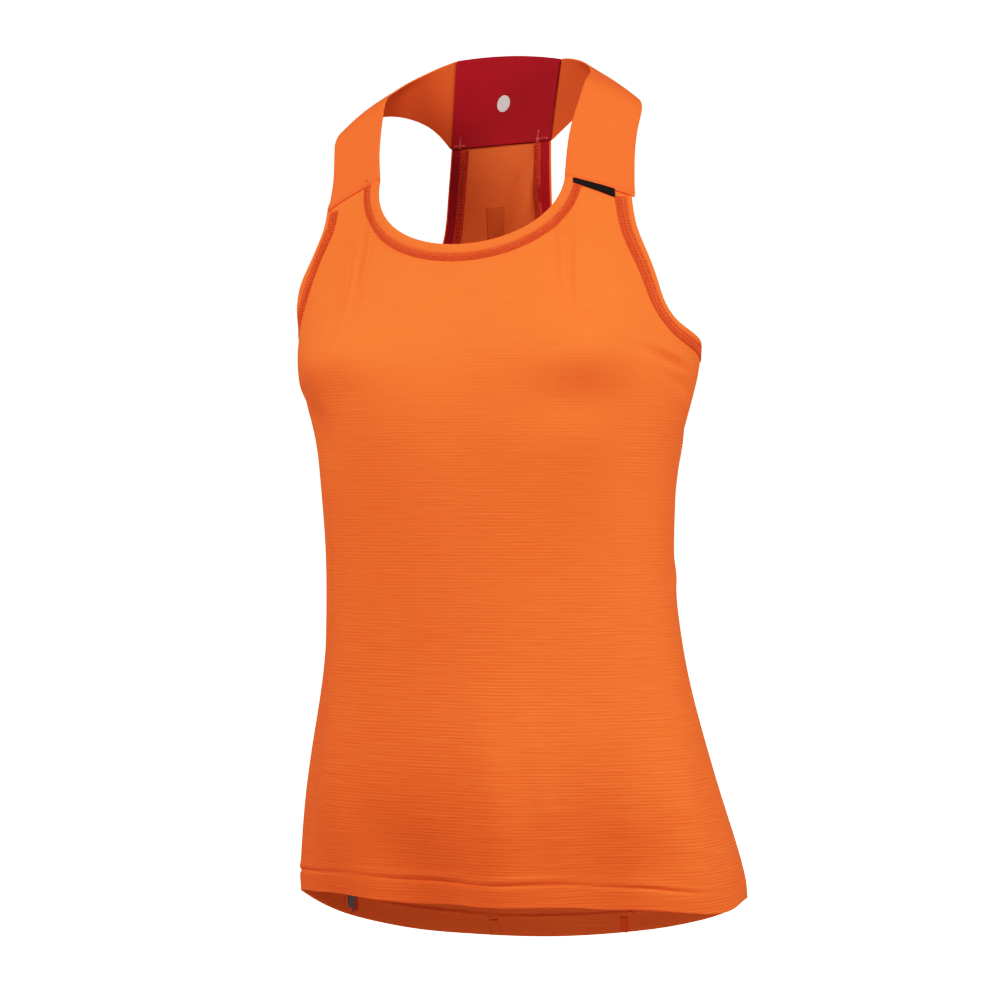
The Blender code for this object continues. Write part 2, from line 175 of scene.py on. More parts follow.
STRAP = (
    # share of the way along, neck edge x, y and z, arm edge x, y and z
    (0.16, 71.5, -30, -32, 113.0, -12, -48),
    (0.33, 74.5, -15, -5.5, 114.4, -6, -25.5),
    (0.44, 75.8, -3, 9.5, 114.8, 0.5, -14.5),
    (0.52, 75.4, 9, 15.5, 111.4, 8, -7.5),
    (0.64, 69.5, 24, 23.8, 98, 21, 0.5),
    (0.78, 58.5, 35.5, 31.0, 78, 33.5, 2.5),
    (0.90, 48.5, 42, 35.2, 56, 42.5, -7.5),
)
STRAP_CROWN = 1.6
SEAM_PULL_POWER = 6

YOKE_HALF_TOP = 40
YOKE_TOP_Y = 46
YOKE_TOP_BOW = 5.5
YOKE_TOP_Z = 37.5
YOKE_TOP_RISE = 3.8
YOKE_TOP_LEAN = 2.4
YOKE_TOP_TILT = 3.2
YOKE_TILT_POWER = 6
YOKE_BOW = 1.6

SIDE_SHARE = 25 / 39
SLOPE_STEP_ANGLE = 0.5
SLOPE_STEP_HEIGHT = 0.5

# ---------------------------------------------------------------- finer form, in the cloth only

CREASES = (
    # angle, height, lean from upright, half length, half width, depth
    (-38, -114, 2, 38, 3.8, -2.0),
    (-34.5, -118, 0, 32, 3.2, 1.2),
    (-31.5, -114, -2, 36, 3.4, -1.8),
    (26.5, -120, 3, 34, 3.2, -1.5),
    (30.5, -124, 0, 38, 3.4, -1.7),
    (45, -112, -6, 26, 4.0, 0.6),
    (64, -187, 75, 28, 4.0, 1.6),
    (66, -193, 75, 34, 3.8, -5.0),
    (69, -199, 75, 30, 3.8, 3.2),
    (73, -205, 75, 24, 3.8, -4.0),
    (103, -238, 0, 50, 40, -3.4),
    (-78, -161, 0, 13, 20, -5.5),
    (175, -66, 30, 30, 7.0, -3.0),
    (179, -62, 30, 26, 7.0, 1.4),
    (-66, -126, -12, 30, 9.0, 4.6),
    (-60.5, -355, 1, 80, 3.6, -1.5),
    (-66.5, -372, -2, 70, 4.4, 1.1),
    (-70, -214, -58, 18, 3.2, -0.9),
    (98, -212, -42, 26, 4.0, -1.2),
    (-99, -209, 40, 26, 4.0, -1.2),
    (131, -262, -60, 30, 5.0, -1.3),
    (-128, -258, 58, 30, 5.0, -1.3),
    (150, -318, -78, 34, 5.5, 1.3),
    (168, -338, -84, 42, 6.0, -1.4),
    (196, -326, 82, 40, 5.5, 1.2),
    (214, -345, 76, 36, 6.0, -1.3),
    (178, -362, 88, 44, 6.5, 1.1),
    (96, -345, -70, 26, 6.0, 1.1),
    (-100, -352, 68, 28, 6.0, 1.2),
    (20, -470, 8, 60, 9.0, 1.2),
    (-8, -540, -10, 30, 8.0, 0.9),
    (52, -470, -10, 48, 8.0, -1.0),
    (-40, -500, 9, 50, 8.0, 1.1),
    (173, -430, 5, 60, 8.0, 1.3),
    (228, -470, -8, 56, 8.0, -1.2),
    (132, -470, 7, 60, 8.0, 1.2),
    # hollows over the hem, a fuller waist and the bust's own rise and fall
    (-10, -590, 0, 58, 26, -20.0),
    (-43, -590, 0, 54, 38, -14.0),
    (-26, -492, 12, 34, 18, 3.0),
    (33, -592, -4, 66, 38, -21.0),
    (50, -538, -8, 26, 18, -3.0),
    (11, -500, 4, 44, 18, 2.4),
    (0, -455, 0, 40, 90, 2.0),
    (10, -335, 0, 55, 110, 2.5),
    (34, -185, 0, 20, 30, 4.8),
    (36, -218, 0, 20, 38, -4.4),
    (-38, -183, 0, 22, 30, 6.4),
    (-54, -232, 0, 26, 28, -6.4),
)

# The hem: cloth turned up inside and stitched, which sinks in at the stitches
HEM_LAYER = 0.9
HEM_STEP = 0.5
HEM_TUCK = 1.3
HEM_WAVES = (
    # waves round the garment, phase in degrees, share
    (3, 40, 0.45),
    (7, 205, 0.35),
    (13, 110, 0.20),
)
HEM_WANDER = 1.1
HEM_SINK_LEAST = 0.12
HEM_SWELL = 0.25
HEM_TROUGH_WIDTH = 1.4
HEM_LIP_ABOVE = 3.2
HEM_LIP_WIDTH = 2.3
HEM_LAYER_PAST = 1.0
HEM_SINKS = (
    # angle, half width in degrees, depth of the trough at the stitches
    (-72, 30, 0.95),
    (-12, 13, 1.25),
    (17, 12, 1.1),
    (48, 13, 1.0),
    (150, 18, 0.8),
    (186, 14, 0.9),
    (222, 16, 0.7),
)

# Seams, bands and tapes
LAP_RISE = 0.8
LAP_WIDTH = 4.5
LAP_ROUNDING = 0.9
BAND_PAST = 0.6
BAND_TOP = 1.45
BAND_BOTTOM = -1.1
BACK_BAND_TOP = 1.1
BACK_BAND_BOTTOM = -0.9
BAND_SIDES = 20
NEEDLE_INSET = 1.2
STITCH_SHARE = 0.72
ROW_STITCH_SHARE = 1.35
TAPE_WIDTH = 12.5
TAPE_STITCH_BAND = (5.6, 0.3)
ALLOWANCE_WIDTH = 6.5
ALLOWANCE_FROM_ROW = 3
BACK_SEAM_MIDDLE = 184
BACK_SEAM_TOP_MIDDLE = 180
BACK_SEAM_AT_HEM = 17.6
BACK_SEAM_SPREAD = 6.4
BACK_SEAM_TOP = -128
BACK_SEAM_TURNED = 13.2
BACK_SEAM_STEP = 1.2
BACK_SEAM_HALF_WIDTH = 3.2
BACK_SEAM_ROWS = (-2.4, 2.4)
BACK_TACK_ANGLE = 163.6
BACK_TACK_ABOVE_HEM = 14.6

SIDES = (("left", 1), ("right", -1))

# Steps along an edge, in millimetres
STITCH_STEP = 0.8
BAND_STEP = 1.6
TAPE_STEP = 2.0

# Label, tab, print, tacks and patch
TACK_WIDTH = 1.7
BACK_TACK_LENGTH = 5.5
LABEL_TUCK = 0.6
LABEL_OFF = 0.15
LABEL_THICKNESS = 1.0
TAB_OFF = 0.95
TAB_THICKNESS = 0.8
PATCH_THICKNESS = 0.4
LABEL_START = 0.11
LABEL_END = 0.72
LABEL_DROPS = (2.3, 4.9)
TAB_ANGLE = 112.3
TAB_WIDTH_ANGLE = 3.0
TAB_ABOVE_HEM = 3
TAB_LENGTH = 17
PRINT_PLACE = (0.52, 0.47)
PRINT_HALF_WIDTH = 5.0
PRINT_HALF_HEIGHT = 6.4
PRINT_RINGS = (
    # share of the half sizes, distance off the facing
    (1.0, -0.3),
    (1.0, 0.05),
    (0.97, 0.09),
    (0.5, 0.09),
    (0.02, 0.09),
)
YOKE_TACKS = (
    # name, place across from the wearer's left, share up, way it lies, length
    ("right_upright", 0.915, 0.055, "upright", 9.5),
    ("right_level", 0.925, 0.03, "level", 10),
    ("left_upright", 0.125, 0.055, "upright", 9.5),
    ("left_level", 0.08, 0.03, "level", 9.5),
)
PATCH_ANGLE = 184.2
PATCH_HEIGHT = -80
PATCH_HALF_ANGLE = 2.9
PATCH_HALF_HEIGHT = 12

# The knit, in metres between its ribs; in the photo they lie about 0.00215 apart
RIB_SPACING = 0.0023
BINDING_RIB_SPACING = 0.0016

# Studio
FLOOR_HEIGHT = -0.72
FLOOR_HALF = 12
FLOOR_GLOW = 0.94
AIR_STRENGTH = 0.22
LIGHTS = (
    # name, place and aim in metres, size in metres, power in watts
    ("key_light", (1.45, -0.4, 0.25), (0, 0, -0.3), 0.7, 13.8),
    ("fill_light", (-0.85, -0.8, 0.45), (0, 0, -0.3), 0.7, 9.3),
    ("front_light", (0.2, -1.45, 0.3), (0, 0, -0.3), 0.7, 5.8),
    ("back_light", (-0.3, 1.9, 0.1), (0, 0, -0.35), 0.9, 7.0),
    ("hem_light", (0.03, 0.0, -0.69), (0.03, 0.13, -0.58), 0.2, 0.17),
)
FILM_CURVE = (
    # light in, light out: soft highlights, deeper and redder shade, as a camera records them
    (0.03, 0.012), (0.06, 0.034), (0.12, 0.091), (0.20, 0.212), (0.35, 0.43),
    (0.54, 0.67), (0.70, 0.81), (0.90, 0.948),
)
CAMERA_AZIMUTH = 18
CAMERA_DISTANCE = 2.0
CAMERA_HEIGHT = -0.300
CAMERA_LENS = 100
CAMERA_SENSOR = 36
CAMERA_SHIFT = (0.0134, 0.020)

# Grid counts of the fine cloth
SIDE_ROWS = 186
HEM_ROWS = 30
ARMHOLE_ROWS = 64
HEM_ROWS_SHARE = 0.057
STRAP_COLUMNS = 18
NECK_COLUMNS = 62
BACK_COLUMNS = 130
STRAP_ROWS = 110
YOKE_ROWS = 34
RIM_STEPS = 3


# ---------------------------------------------------------------- curves

def spline(knots, values, at):
    """Natural cubic spline through the values at the knots, read at the given places."""
    knots = np.asarray(knots, float)
    values = np.asarray(values, float)
    step = np.diff(knots)
    slope = (np.diff(values, axis=0).T / step).T
    count = len(knots)
    matrix = np.eye(count)
    inner = np.arange(1, count - 1)
    matrix[inner, inner - 1] = step[:-1]
    matrix[inner, inner] = 2 * (step[:-1] + step[1:])
    matrix[inner, inner + 1] = step[1:]
    right = np.zeros_like(values)
    right[1:-1] = 6 * np.diff(slope, axis=0)
    bend = np.linalg.solve(matrix, right)
    at = np.asarray(at, float)
    left = np.clip(np.searchsorted(knots, at, side="right") - 1, 0, count - 2)
    width = step[left]
    ahead = (knots[left + 1] - at) / width
    if values.ndim > 1:
        ahead = ahead[..., None]
        width = width[..., None]
    behind = 1 - ahead
    return (ahead * values[left] + behind * values[left + 1]
            + ((ahead ** 3 - ahead) * bend[left]
               + (behind ** 3 - behind) * bend[left + 1]) * width ** 2 / 6)


def along_table(table, count, mm_per_unit):
    """Evenly spaced points, by length, on the smooth curve through a table's rows."""
    rows = np.asarray(table, float)
    length = np.hypot(*(np.diff(rows, axis=0) * mm_per_unit).T)
    knots = np.concatenate(([0], np.cumsum(length))) / length.sum()
    return spline(knots, rows, np.linspace(0, 1, count))


def smooth_step(value):
    """0 below 0, 1 above 1, and a smooth rise between."""
    value = np.clip(value, 0, 1)
    return value * value * (3 - 2 * value)


def hump(value, half_width):
    """A bell, 1 at 0 and about a third at half_width."""
    return np.exp(-(value / half_width) ** 2)


def unit(vectors):
    """The vectors at length 1."""
    return vectors / np.linalg.norm(vectors, axis=-1, keepdims=True)


def run_lengths(points):
    """Distance walked along a line of points, from its first one."""
    return np.concatenate(([0], np.cumsum(np.linalg.norm(np.diff(points, axis=0), axis=-1))))


# ---------------------------------------------------------------- body form

def bust_rise(angle, height):
    """Height of the two soft rises of the bust."""
    spread = np.where(height > BUST_HEIGHT, BUST_SPREAD_ABOVE, BUST_SPREAD_BELOW)
    across = (np.hypot(angle, BUST_BRIDGE_ANGLE) - BUST_ANGLE) / BUST_SPREAD_ANGLE
    return BUST_RISE * np.exp(-0.5 * (across ** 2 + ((height - BUST_HEIGHT) / spread) ** 2))


def fold_rise(folds, angle, height):
    """Sum of the folds in a table: each is a soft ridge or trough along a leaning line."""
    total = np.zeros(np.broadcast(angle, height).shape)
    for fold_angle, fold_height, lean, half_length, half_width, depth in folds:
        around = (angle - fold_angle + 180) % 360 - 180
        sideways = around * MM_PER_DEGREE
        upward = height - fold_height
        tilt = np.radians(lean)
        along = upward * np.cos(tilt) - sideways * np.sin(tilt)
        across = upward * np.sin(tilt) + sideways * np.cos(tilt)
        total = total + depth * np.exp(-(along / half_length) ** 2 - (across / half_width) ** 2)
    return total


def figure(angle, height):
    """Points of the body form: an oval section at each height, moved out by bust and folds."""
    angle, height = np.broadcast_arrays(np.asarray(angle, float), np.asarray(height, float))
    table = np.asarray(SECTIONS, float)[::-1]
    centre_x, centre_y, half_width, front, back = np.moveaxis(
        spline(table[:, 0], table[:, 1:], height), -1, 0)
    turn = np.radians(angle)
    depth = np.where(np.cos(turn) > 0, front, back)
    fuller = 1 + SQUARENESS * np.sin(2 * turn) ** 2
    outward_x = np.sin(turn) / half_width
    outward_y = -np.cos(turn) / depth
    size = np.hypot(outward_x, outward_y)
    signed = (angle + 180) % 360 - 180
    rise = bust_rise(signed, height) + fold_rise(FOLDS, angle, height)
    x = centre_x + half_width * np.sin(turn) * fuller + rise * outward_x / size
    y = centre_y - depth * np.cos(turn) * fuller + rise * outward_y / size
    return np.stack((x, y, height), axis=-1)


def figure_slopes(angle, height):
    """The steps that the body form takes for a degree of angle and for a millimetre of height."""
    around = (figure(angle + SLOPE_STEP_ANGLE, height)
              - figure(angle - SLOPE_STEP_ANGLE, height)) / (2 * SLOPE_STEP_ANGLE)
    upward = (figure(angle, height + SLOPE_STEP_HEIGHT)
              - figure(angle, height - SLOPE_STEP_HEIGHT)) / (2 * SLOPE_STEP_HEIGHT)
    return around, upward


def figure_normal(angle, height):
    """Unit normals of the body form, facing out."""
    return unit(np.cross(*figure_slopes(angle, height)))


def hem_height(angle):
    """Height of the hem: level in front, then a long curve down to the tail."""
    places, heights = np.asarray(HEM, float).T
    return spline(places, heights, np.mod(angle, 360))


def stand(points):
    """Slope the shoulders: upper points rise on the wearer's left and sink on the right."""
    share = smooth_step((points[..., 2] - SLOPE_STARTS) / (SLOPE_FULL - SLOPE_STARTS))
    posed = points.copy()
    posed[..., 2] += SHOULDER_SLOPE * points[..., 0] * share
    return posed


# ---------------------------------------------------------------- panels, as angles and heights

def row_shares():
    """Shares of the way from hem to top of a panel's rows, closer together near the hem."""
    hem = np.linspace(0, HEM_ROWS_SHARE, HEM_ROWS + 1)[:-1]
    side = SIDE_SHARE * np.append(hem, np.linspace(HEM_ROWS_SHARE, 1, SIDE_ROWS - HEM_ROWS + 1))
    armhole = np.linspace(SIDE_SHARE, 1, ARMHOLE_ROWS + 1)[1:]
    return np.concatenate((side, armhole))


def side_edge(side, half_at_hem, armhole):
    """Half-angle and height of one edge of a panel: side seam, then armhole."""
    share = row_shares()[:SIDE_ROWS + 1] / SIDE_SHARE
    hem = hem_height(side * SIDE_AT_HEM)
    seam_angle = half_at_hem + (armhole[0][0] - half_at_hem) * share
    seam = np.stack((seam_angle, hem + (armhole[0][1] - hem) * share), axis=-1)
    upper = along_table(armhole, ARMHOLE_ROWS + 1, (MM_PER_DEGREE, 1))[1:]
    edge = np.concatenate((seam, upper))
    return edge[:, :1] - SEAM_GAP_ANGLE, edge[:, 1:]


def panel_plan(edges, middle_angle, middle_top, across):
    """Signed half-angles and heights of a panel whose rows fan from its edges to its middle."""
    (low_half, low_side), (high_half, high_side) = edges
    share = (across + 1) / 2
    spread = (low_half * (1 - share) + high_half * share) * across
    edge_height = low_side * (1 - share) + high_side * share
    rows = row_shares()[:, None]
    hem = hem_height(middle_angle)
    middle = hem + (middle_top - hem) * rows
    height = edge_height + (middle - edge_height) * (1 - across ** 2)
    fade = np.clip(1 - rows / HEM_FADE, 0, 1) ** 2
    return spread, height + fade * (hem_height(middle_angle + spread[:1]) - height[:1])


def front_top(across):
    """Half-angle and height of the front's top edge: neckline, then strap seam.

    The neckline is part of an ellipse, from its lowest point in the middle up to each
    side's strap seam; the seam is straight.
    """
    place = np.abs(across)
    left = across > 0
    neck_end = np.where(left, STRAP_SEAM_NECK_ENDS[1], STRAP_SEAM_NECK_ENDS[-1])
    arm_angle, arm_height = (np.where(left, FRONT_ARMHOLES[1][-1][part],
                                      FRONT_ARMHOLES[-1][-1][part]) for part in (0, 1))
    depth = NECK_TOP - NECK_BOTTOM
    last_turn = np.arccos((NECK_TOP - neck_end) / depth)
    turn = np.clip(place / STRAP_SEAM_AT, 0, 1) * last_turn
    share = np.clip((place - STRAP_SEAM_AT) / (1 - STRAP_SEAM_AT), 0, 1)
    neck_angle = NECK_ANGLE * np.sin(turn)
    neck_height = NECK_TOP - depth * np.cos(turn)
    angle = neck_angle + (arm_angle - NECK_ANGLE * np.sin(last_turn)) * share
    height = neck_height + (arm_height - neck_end) * share
    return np.sign(across) * angle, height


def front_plan():
    """Angles and heights of the front panel's grid."""
    neck = np.linspace(0, STRAP_SEAM_AT, NECK_COLUMNS + 1)
    strap = np.linspace(STRAP_SEAM_AT, 1, STRAP_COLUMNS + 1)[1:]
    half = np.concatenate((neck, strap))
    across = np.concatenate((-half[:0:-1], half))
    edges = [side_edge(side, SIDE_AT_HEM, FRONT_ARMHOLES[side]) for side in (-1, 1)]
    angle, height = panel_plan(edges, 0, NECK_BOTTOM, across)
    top_angle, top_height = front_top(across)
    pull = np.clip((row_shares() - SIDE_SHARE) / (1 - SIDE_SHARE), 0, 1)[:, None] ** TOP_PULL_POWER
    angle = angle + pull * (top_angle - angle[-1])
    height = height + pull * (top_height - height[-1])
    return angle, height


def racer_lean(height):
    """How far, in degrees, the narrow back leans to the wearer's right."""
    span = RACER_LEAN_FULL - RACER_LEAN_STARTS
    rise = smooth_step((height - RACER_LEAN_STARTS) / span)
    fall = smooth_step((height - RACER_LEAN_FULL) / span)
    return RACER_LEAN * rise * (1 - (1 - RACER_LEAN_TOP_SHARE) * fall)


def back_plan():
    """Angles and heights of the back panel's grid."""
    across = np.linspace(-1, 1, BACK_COLUMNS + 1)
    edges = [side_edge(side, 180 - SIDE_AT_HEM, BACK_ARMHOLE) for side in (1, -1)]
    angle, height = panel_plan(edges, 180, BACK_ARMHOLE[-1][1], across)
    return 180 + angle + racer_lean(height), height


def grid_normals(grid):
    """Unit normals of a grid whose first axis runs up and second runs round."""
    return unit(np.cross(np.gradient(grid, axis=1), np.gradient(grid, axis=0)))


def strap_grid(side, front_seam, yoke_top, yoke_bottom):
    """A strap as a ruled band between its two edge curves, crowned over the shoulder."""
    rows = np.asarray(STRAP, float)
    flip = np.array([side, 1, 1])
    tilt = side * YOKE_TOP_TILT * rows[:, :1] ** YOKE_TILT_POWER * np.array([0, 0, 1])
    neck = np.concatenate((front_seam[:1], rows[:, 1:4] * flip - tilt, [yoke_top]))
    arm = np.concatenate((front_seam[-1:], rows[:, 4:7] * flip, [yoke_bottom]))
    knots = np.concatenate(([0], rows[:, 0], [1]))
    along = np.linspace(0, 1, STRAP_ROWS + 1)
    neck_edge = spline(knots, neck, along)[:, None, :]
    arm_edge = spline(knots, arm, along)[:, None, :]
    across = np.linspace(0, 1, len(front_seam))[None, :, None]
    grid = neck_edge * (1 - across) + arm_edge * across
    start = front_seam[None] - grid[:1]
    grid = grid + start * (1 - along[:, None, None]) ** SEAM_PULL_POWER
    crown = STRAP_CROWN * np.sin(np.pi * along) ** 2
    lift = crown[:, None, None] * np.sin(np.pi * across)
    return grid + lift * grid_normals(grid) * side


def yoke_grid(bottom):
    """The yoke: from the top of the narrow back up to the neck edge, bowed a little."""
    across = np.linspace(-1, 1, len(bottom))
    bow = 1 - across ** 2
    top = np.stack((YOKE_TOP_LEAN - YOKE_HALF_TOP * across,
                    YOKE_TOP_Y + YOKE_TOP_BOW * bow,
                    YOKE_TOP_Z + YOKE_TOP_RISE * bow + YOKE_TOP_TILT * across), axis=-1)
    share = np.linspace(0, 1, YOKE_ROWS + 1)[:, None, None]
    grid = bottom[None] * (1 - share) + top[None] * share
    grid[..., 1] += YOKE_BOW * np.sin(np.pi * share[..., 0]) * bow[None]
    return grid


def moved_up(points, distance):
    """The points moved straight up."""
    return points + np.array([0, 0, distance])


# ---------------------------------------------------------------- places on the cloth

def hem_ripple(angle):
    """A smooth uneven value from -1 to 1 round the garment: a sum of a few cosines."""
    total = np.zeros_like(np.asarray(angle, float))
    for waves, phase, share in HEM_WAVES:
        total = total + share * np.cos(np.radians(waves * angle + phase))
    return total


def hem_line(angle):
    """Height of the hem's stitches over its edge, which wanders a little round the garment."""
    return sizes().hem_turn_up / METRES + HEM_WANDER * hem_ripple(angle)


def hem_relief(angle, height):
    """How far a panel's outer and inner faces stand out near the hem, for its turned-up edge.

    Outside, the hem swells a little, sinks in a narrow trough at its stitches and stands up
    in a soft lip above them. Inside, a second layer lies up to the stitches. Below them the
    whole hem leans in.
    """
    above = height - hem_height(angle)
    ripple = hem_ripple(angle)
    line = hem_line(angle)
    sink = HEM_SINK_LEAST
    for middle, spread, depth in HEM_SINKS:
        sink = sink + depth * hump((angle - middle + 180) % 360 - 180, spread)
    swell = HEM_SWELL * hump(above - 0.45 * line, 0.35 * line)
    trough = -sink * hump(above - line, HEM_TROUGH_WIDTH)
    lip = (0.65 + 0.3 * ripple) * sink * hump(above - line - HEM_LIP_ABOVE, HEM_LIP_WIDTH)
    outer = swell + trough + lip
    inner = -HEM_LAYER * (1 - smooth_step((above - line - HEM_LAYER_PAST) / HEM_STEP))
    tuck = -HEM_TUCK * (1 - smooth_step(above / line))
    return outer + tuck, inner + tuck + 0.5 * (trough + lip)


def surface(angle, height, rise=0.0):
    """Points on the cloth's middle, with the finer creases, moved out by 'rise'."""
    normal = figure_normal(angle, height)
    lift = fold_rise(CREASES, angle, height) + rise
    return figure(angle, height) + lift[..., None] * normal, normal


def edge_steps(edge_angle, edge_height, inner_side):
    """Change of angle and height for a millimetre into the cloth from each point of an edge.

    The step across the edge is the cross product of its direction and the surface's
    normal, turned into a change of angle and height by the surface's two slopes.
    """
    ahead = unit(np.gradient(figure(edge_angle, edge_height), axis=0))
    inward = np.cross(ahead, figure_normal(edge_angle, edge_height)) * inner_side
    slopes = np.stack(figure_slopes(edge_angle, edge_height), axis=-2)
    square = slopes @ np.swapaxes(slopes, -1, -2)
    return np.linalg.solve(square, slopes @ inward[..., None])[..., 0]


def beside_edge(edge, inward, rise, face):
    """Points and normals at given distances in from an edge and off a face of the cloth.

    'face' is 1 for the outside, where 'rise' counts from that face outwards, -1 for the
    inside, where it counts inwards, and 0 for the cloth's middle, where it counts outwards.
    """
    edge_angle, edge_height, steps = edge
    angle = edge_angle + inward * steps[:, 0]
    height = edge_height + inward * steps[:, 1]
    outer, inner = hem_relief(angle, height)
    base = {1: WALL / 2 + outer, -1: inner - WALL / 2, 0: 0.0}[face]
    points, normals = surface(angle, height, base + (rise if face >= 0 else -rise))
    return points, normals * (face or 1)


def make_edge(edge_angle, edge_height, inner_side, spacing):
    """An edge read again at even steps of its length, with its steps into the cloth."""
    points = figure(edge_angle, edge_height)
    length = run_lengths(points)
    count = max(8, int(round(length[-1] / spacing)))
    places = np.linspace(0, length[-1], count + 1)
    angle = np.interp(places, length, edge_angle)
    height = np.interp(places, length, edge_height)
    return angle, height, edge_steps(angle, height, inner_side)


# ---------------------------------------------------------------- meshes

def put_mesh(name, points, faces, finish, cloth_mm=None):
    """A smooth mesh object from points in millimetres and arrays of corner numbers.

    'cloth_mm' holds each point's place on the flat cloth; it becomes a UV map in metres.
    """
    corners = [row for part in faces for row in part.tolist()]
    mesh = bpy.data.meshes.new(name)
    mesh.from_pydata((stand(points) * METRES).tolist(), [], corners)
    if cloth_mm is not None:
        picked = np.empty(len(mesh.loops), dtype=np.int32)
        mesh.loops.foreach_get("vertex_index", picked)
        layer = mesh.uv_layers.new(name="cloth")
        layer.data.foreach_set("uv", (cloth_mm[picked] * METRES).astype(np.float32).ravel())
    mesh.materials.append(finish)
    mesh.shade_smooth()
    piece = bpy.data.objects.new(name, mesh)
    bpy.context.scene.collection.objects.link(piece)
    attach(piece, "root")
    return piece


def grid_quads(rows, columns, closed=False):
    """Corner numbers of a grid's faces; a closed grid joins its last column to its first."""
    index = np.arange(rows * columns).reshape(rows, columns)
    if closed:
        index = np.concatenate((index, index[:, :1]), axis=1)
    return np.stack((index[:-1, :-1], index[:-1, 1:], index[1:, 1:], index[1:, :-1]),
                    axis=-1).reshape(-1, 4)


def boundary(rows, columns):
    """Numbers of a grid's edge points in order round it, and which side each is on."""
    index = np.arange(rows * columns).reshape(rows, columns)
    loop = np.concatenate((index[0], index[1:, -1], index[-1, -2::-1], index[-2:0:-1, 0]))
    side = np.repeat((0, 1, 2, 3), (columns, rows - 1, columns - 1, rows - 2))
    return loop, side


def put_wall(name, grid, normals, outer, inner, finish, cloth_mm, rounding, reverse=None):
    """A closed sheet: the grid moved out by 'outer' and by 'inner', with half-round rims.

    'rounding' says how far each rim bulges past the grid: bottom, right, top and left.
    'reverse' is the finish of the inner face where it differs.
    Between the faces, rim points follow a half circle: cosine of the turn through the
    thickness and sine of it past the edge.
    """
    rows, columns = grid.shape[:2]
    outside = (grid + normals * np.broadcast_to(outer, (rows, columns))[..., None]).reshape(-1, 3)
    inside = (grid + normals * np.broadcast_to(inner, (rows, columns))[..., None]).reshape(-1, 3)
    loop, side = boundary(rows, columns)
    middle = (outside[loop] + inside[loop]) / 2
    half = (outside[loop] - inside[loop]) / 2
    ahead = np.roll(middle, -1, axis=0) - np.roll(middle, 1, axis=0)
    past = unit(np.cross(ahead, half)) * np.asarray(rounding, float)[side][:, None]
    turns = np.pi * np.arange(1, RIM_STEPS + 1) / (RIM_STEPS + 1)
    rims = [middle + half * np.cos(turn) + past * np.sin(turn) for turn in turns]
    quads = grid_quads(rows, columns)
    total = rows * columns
    rings = [loop]
    rings += [2 * total + step * len(loop) + np.arange(len(loop)) for step in range(RIM_STEPS)]
    rings.append(loop + total)
    faces = [quads, quads[:, ::-1] + total]
    for this, following in zip(rings[:-1], rings[1:]):
        faces.append(np.stack((following, np.roll(following, -1), np.roll(this, -1), this), -1))
    points = np.concatenate((outside, inside, *rims))
    flat = cloth_mm.reshape(-1, 2)
    spread = np.concatenate((flat, flat, *[flat[loop]] * RIM_STEPS))
    piece = put_mesh(name, points, faces, finish, spread)
    if reverse:
        piece.data.materials.append(reverse)
        inner_faces = np.zeros(len(piece.data.polygons), dtype=np.int32)
        inner_faces[len(quads):2 * len(quads)] = 1
        piece.data.polygons.foreach_set("material_index", inner_faces)
    return piece


def walked_across(grid):
    """Distance walked along a grid's rows, the mean of all of them."""
    return np.concatenate(([0], np.cumsum(
        np.linalg.norm(np.diff(grid, axis=1), axis=-1).mean(axis=0))))


def cloth_places(grid):
    """Flat cloth places of a grid: distance walked along its rows and up its columns."""
    upward = np.linalg.norm(np.diff(grid, axis=0), axis=-1).mean(axis=1)
    rows = np.concatenate(([0], np.cumsum(upward)))
    return np.stack(np.meshgrid(walked_across(grid), rows), axis=-1)


def level_places(grid):
    """Flat cloth places of a panel: distance walked round it, and height, so ribs stay level."""
    columns = np.broadcast_to(walked_across(grid), grid.shape[:2])
    return np.stack((columns, stand(grid)[..., 2]), axis=-1)


def put_bar(name, edge, profile, finish, face):
    """A bar carried along an edge: its closed profile is a list of (inward, rise) pairs.

    Each point is the edge's point moved 'inward' over the cloth and 'rise' off its face;
    flat end faces close it.
    """
    rings = [beside_edge(edge, inward, rise, face)[0] for inward, rise in profile]
    grid = np.stack(rings, axis=1)
    rows, columns = grid.shape[:2]
    first = np.arange(columns)[None, :]
    faces = [grid_quads(rows, columns, closed=True), first + (rows - 1) * columns, first[:, ::-1]]
    if turned_in(grid):
        faces = [part[:, ::-1] for part in faces]
    along = run_lengths(grid[:, 0])
    round_it = run_lengths(np.concatenate((grid[0], grid[:1, 0])))[:-1]
    places = np.stack(np.meshgrid(round_it, along), axis=-1).reshape(-1, 2)
    return put_mesh(name, grid.reshape(-1, 3), faces, finish, places)


def turned_in(grid):
    """Whether a bar's rings run so that its faces would point inwards."""
    centre = grid.mean(axis=1, keepdims=True)
    around = np.roll(grid, -1, axis=1) - grid
    ahead = np.gradient(grid, axis=0)
    return (np.cross(around, ahead) * (grid - centre)).sum() < 0


def rounded_bar(low, high, base, top, corner):
    """A flat bar's profile: from 'low' to 'high' inward, 'base' to 'top' out, round corners."""
    quarter = np.radians((0, 30, 60, 90))
    corners = ((high - corner, top - corner, 0), (low + corner, top - corner, 90),
               (low + corner, base + corner, 180), (high - corner, base + corner, 270))
    points = []
    for inward, rise, start in corners:
        turn = quarter + np.radians(start)
        points.extend(zip(inward + corner * np.cos(turn), rise + corner * np.sin(turn)))
    return points


# ---------------------------------------------------------------- thread

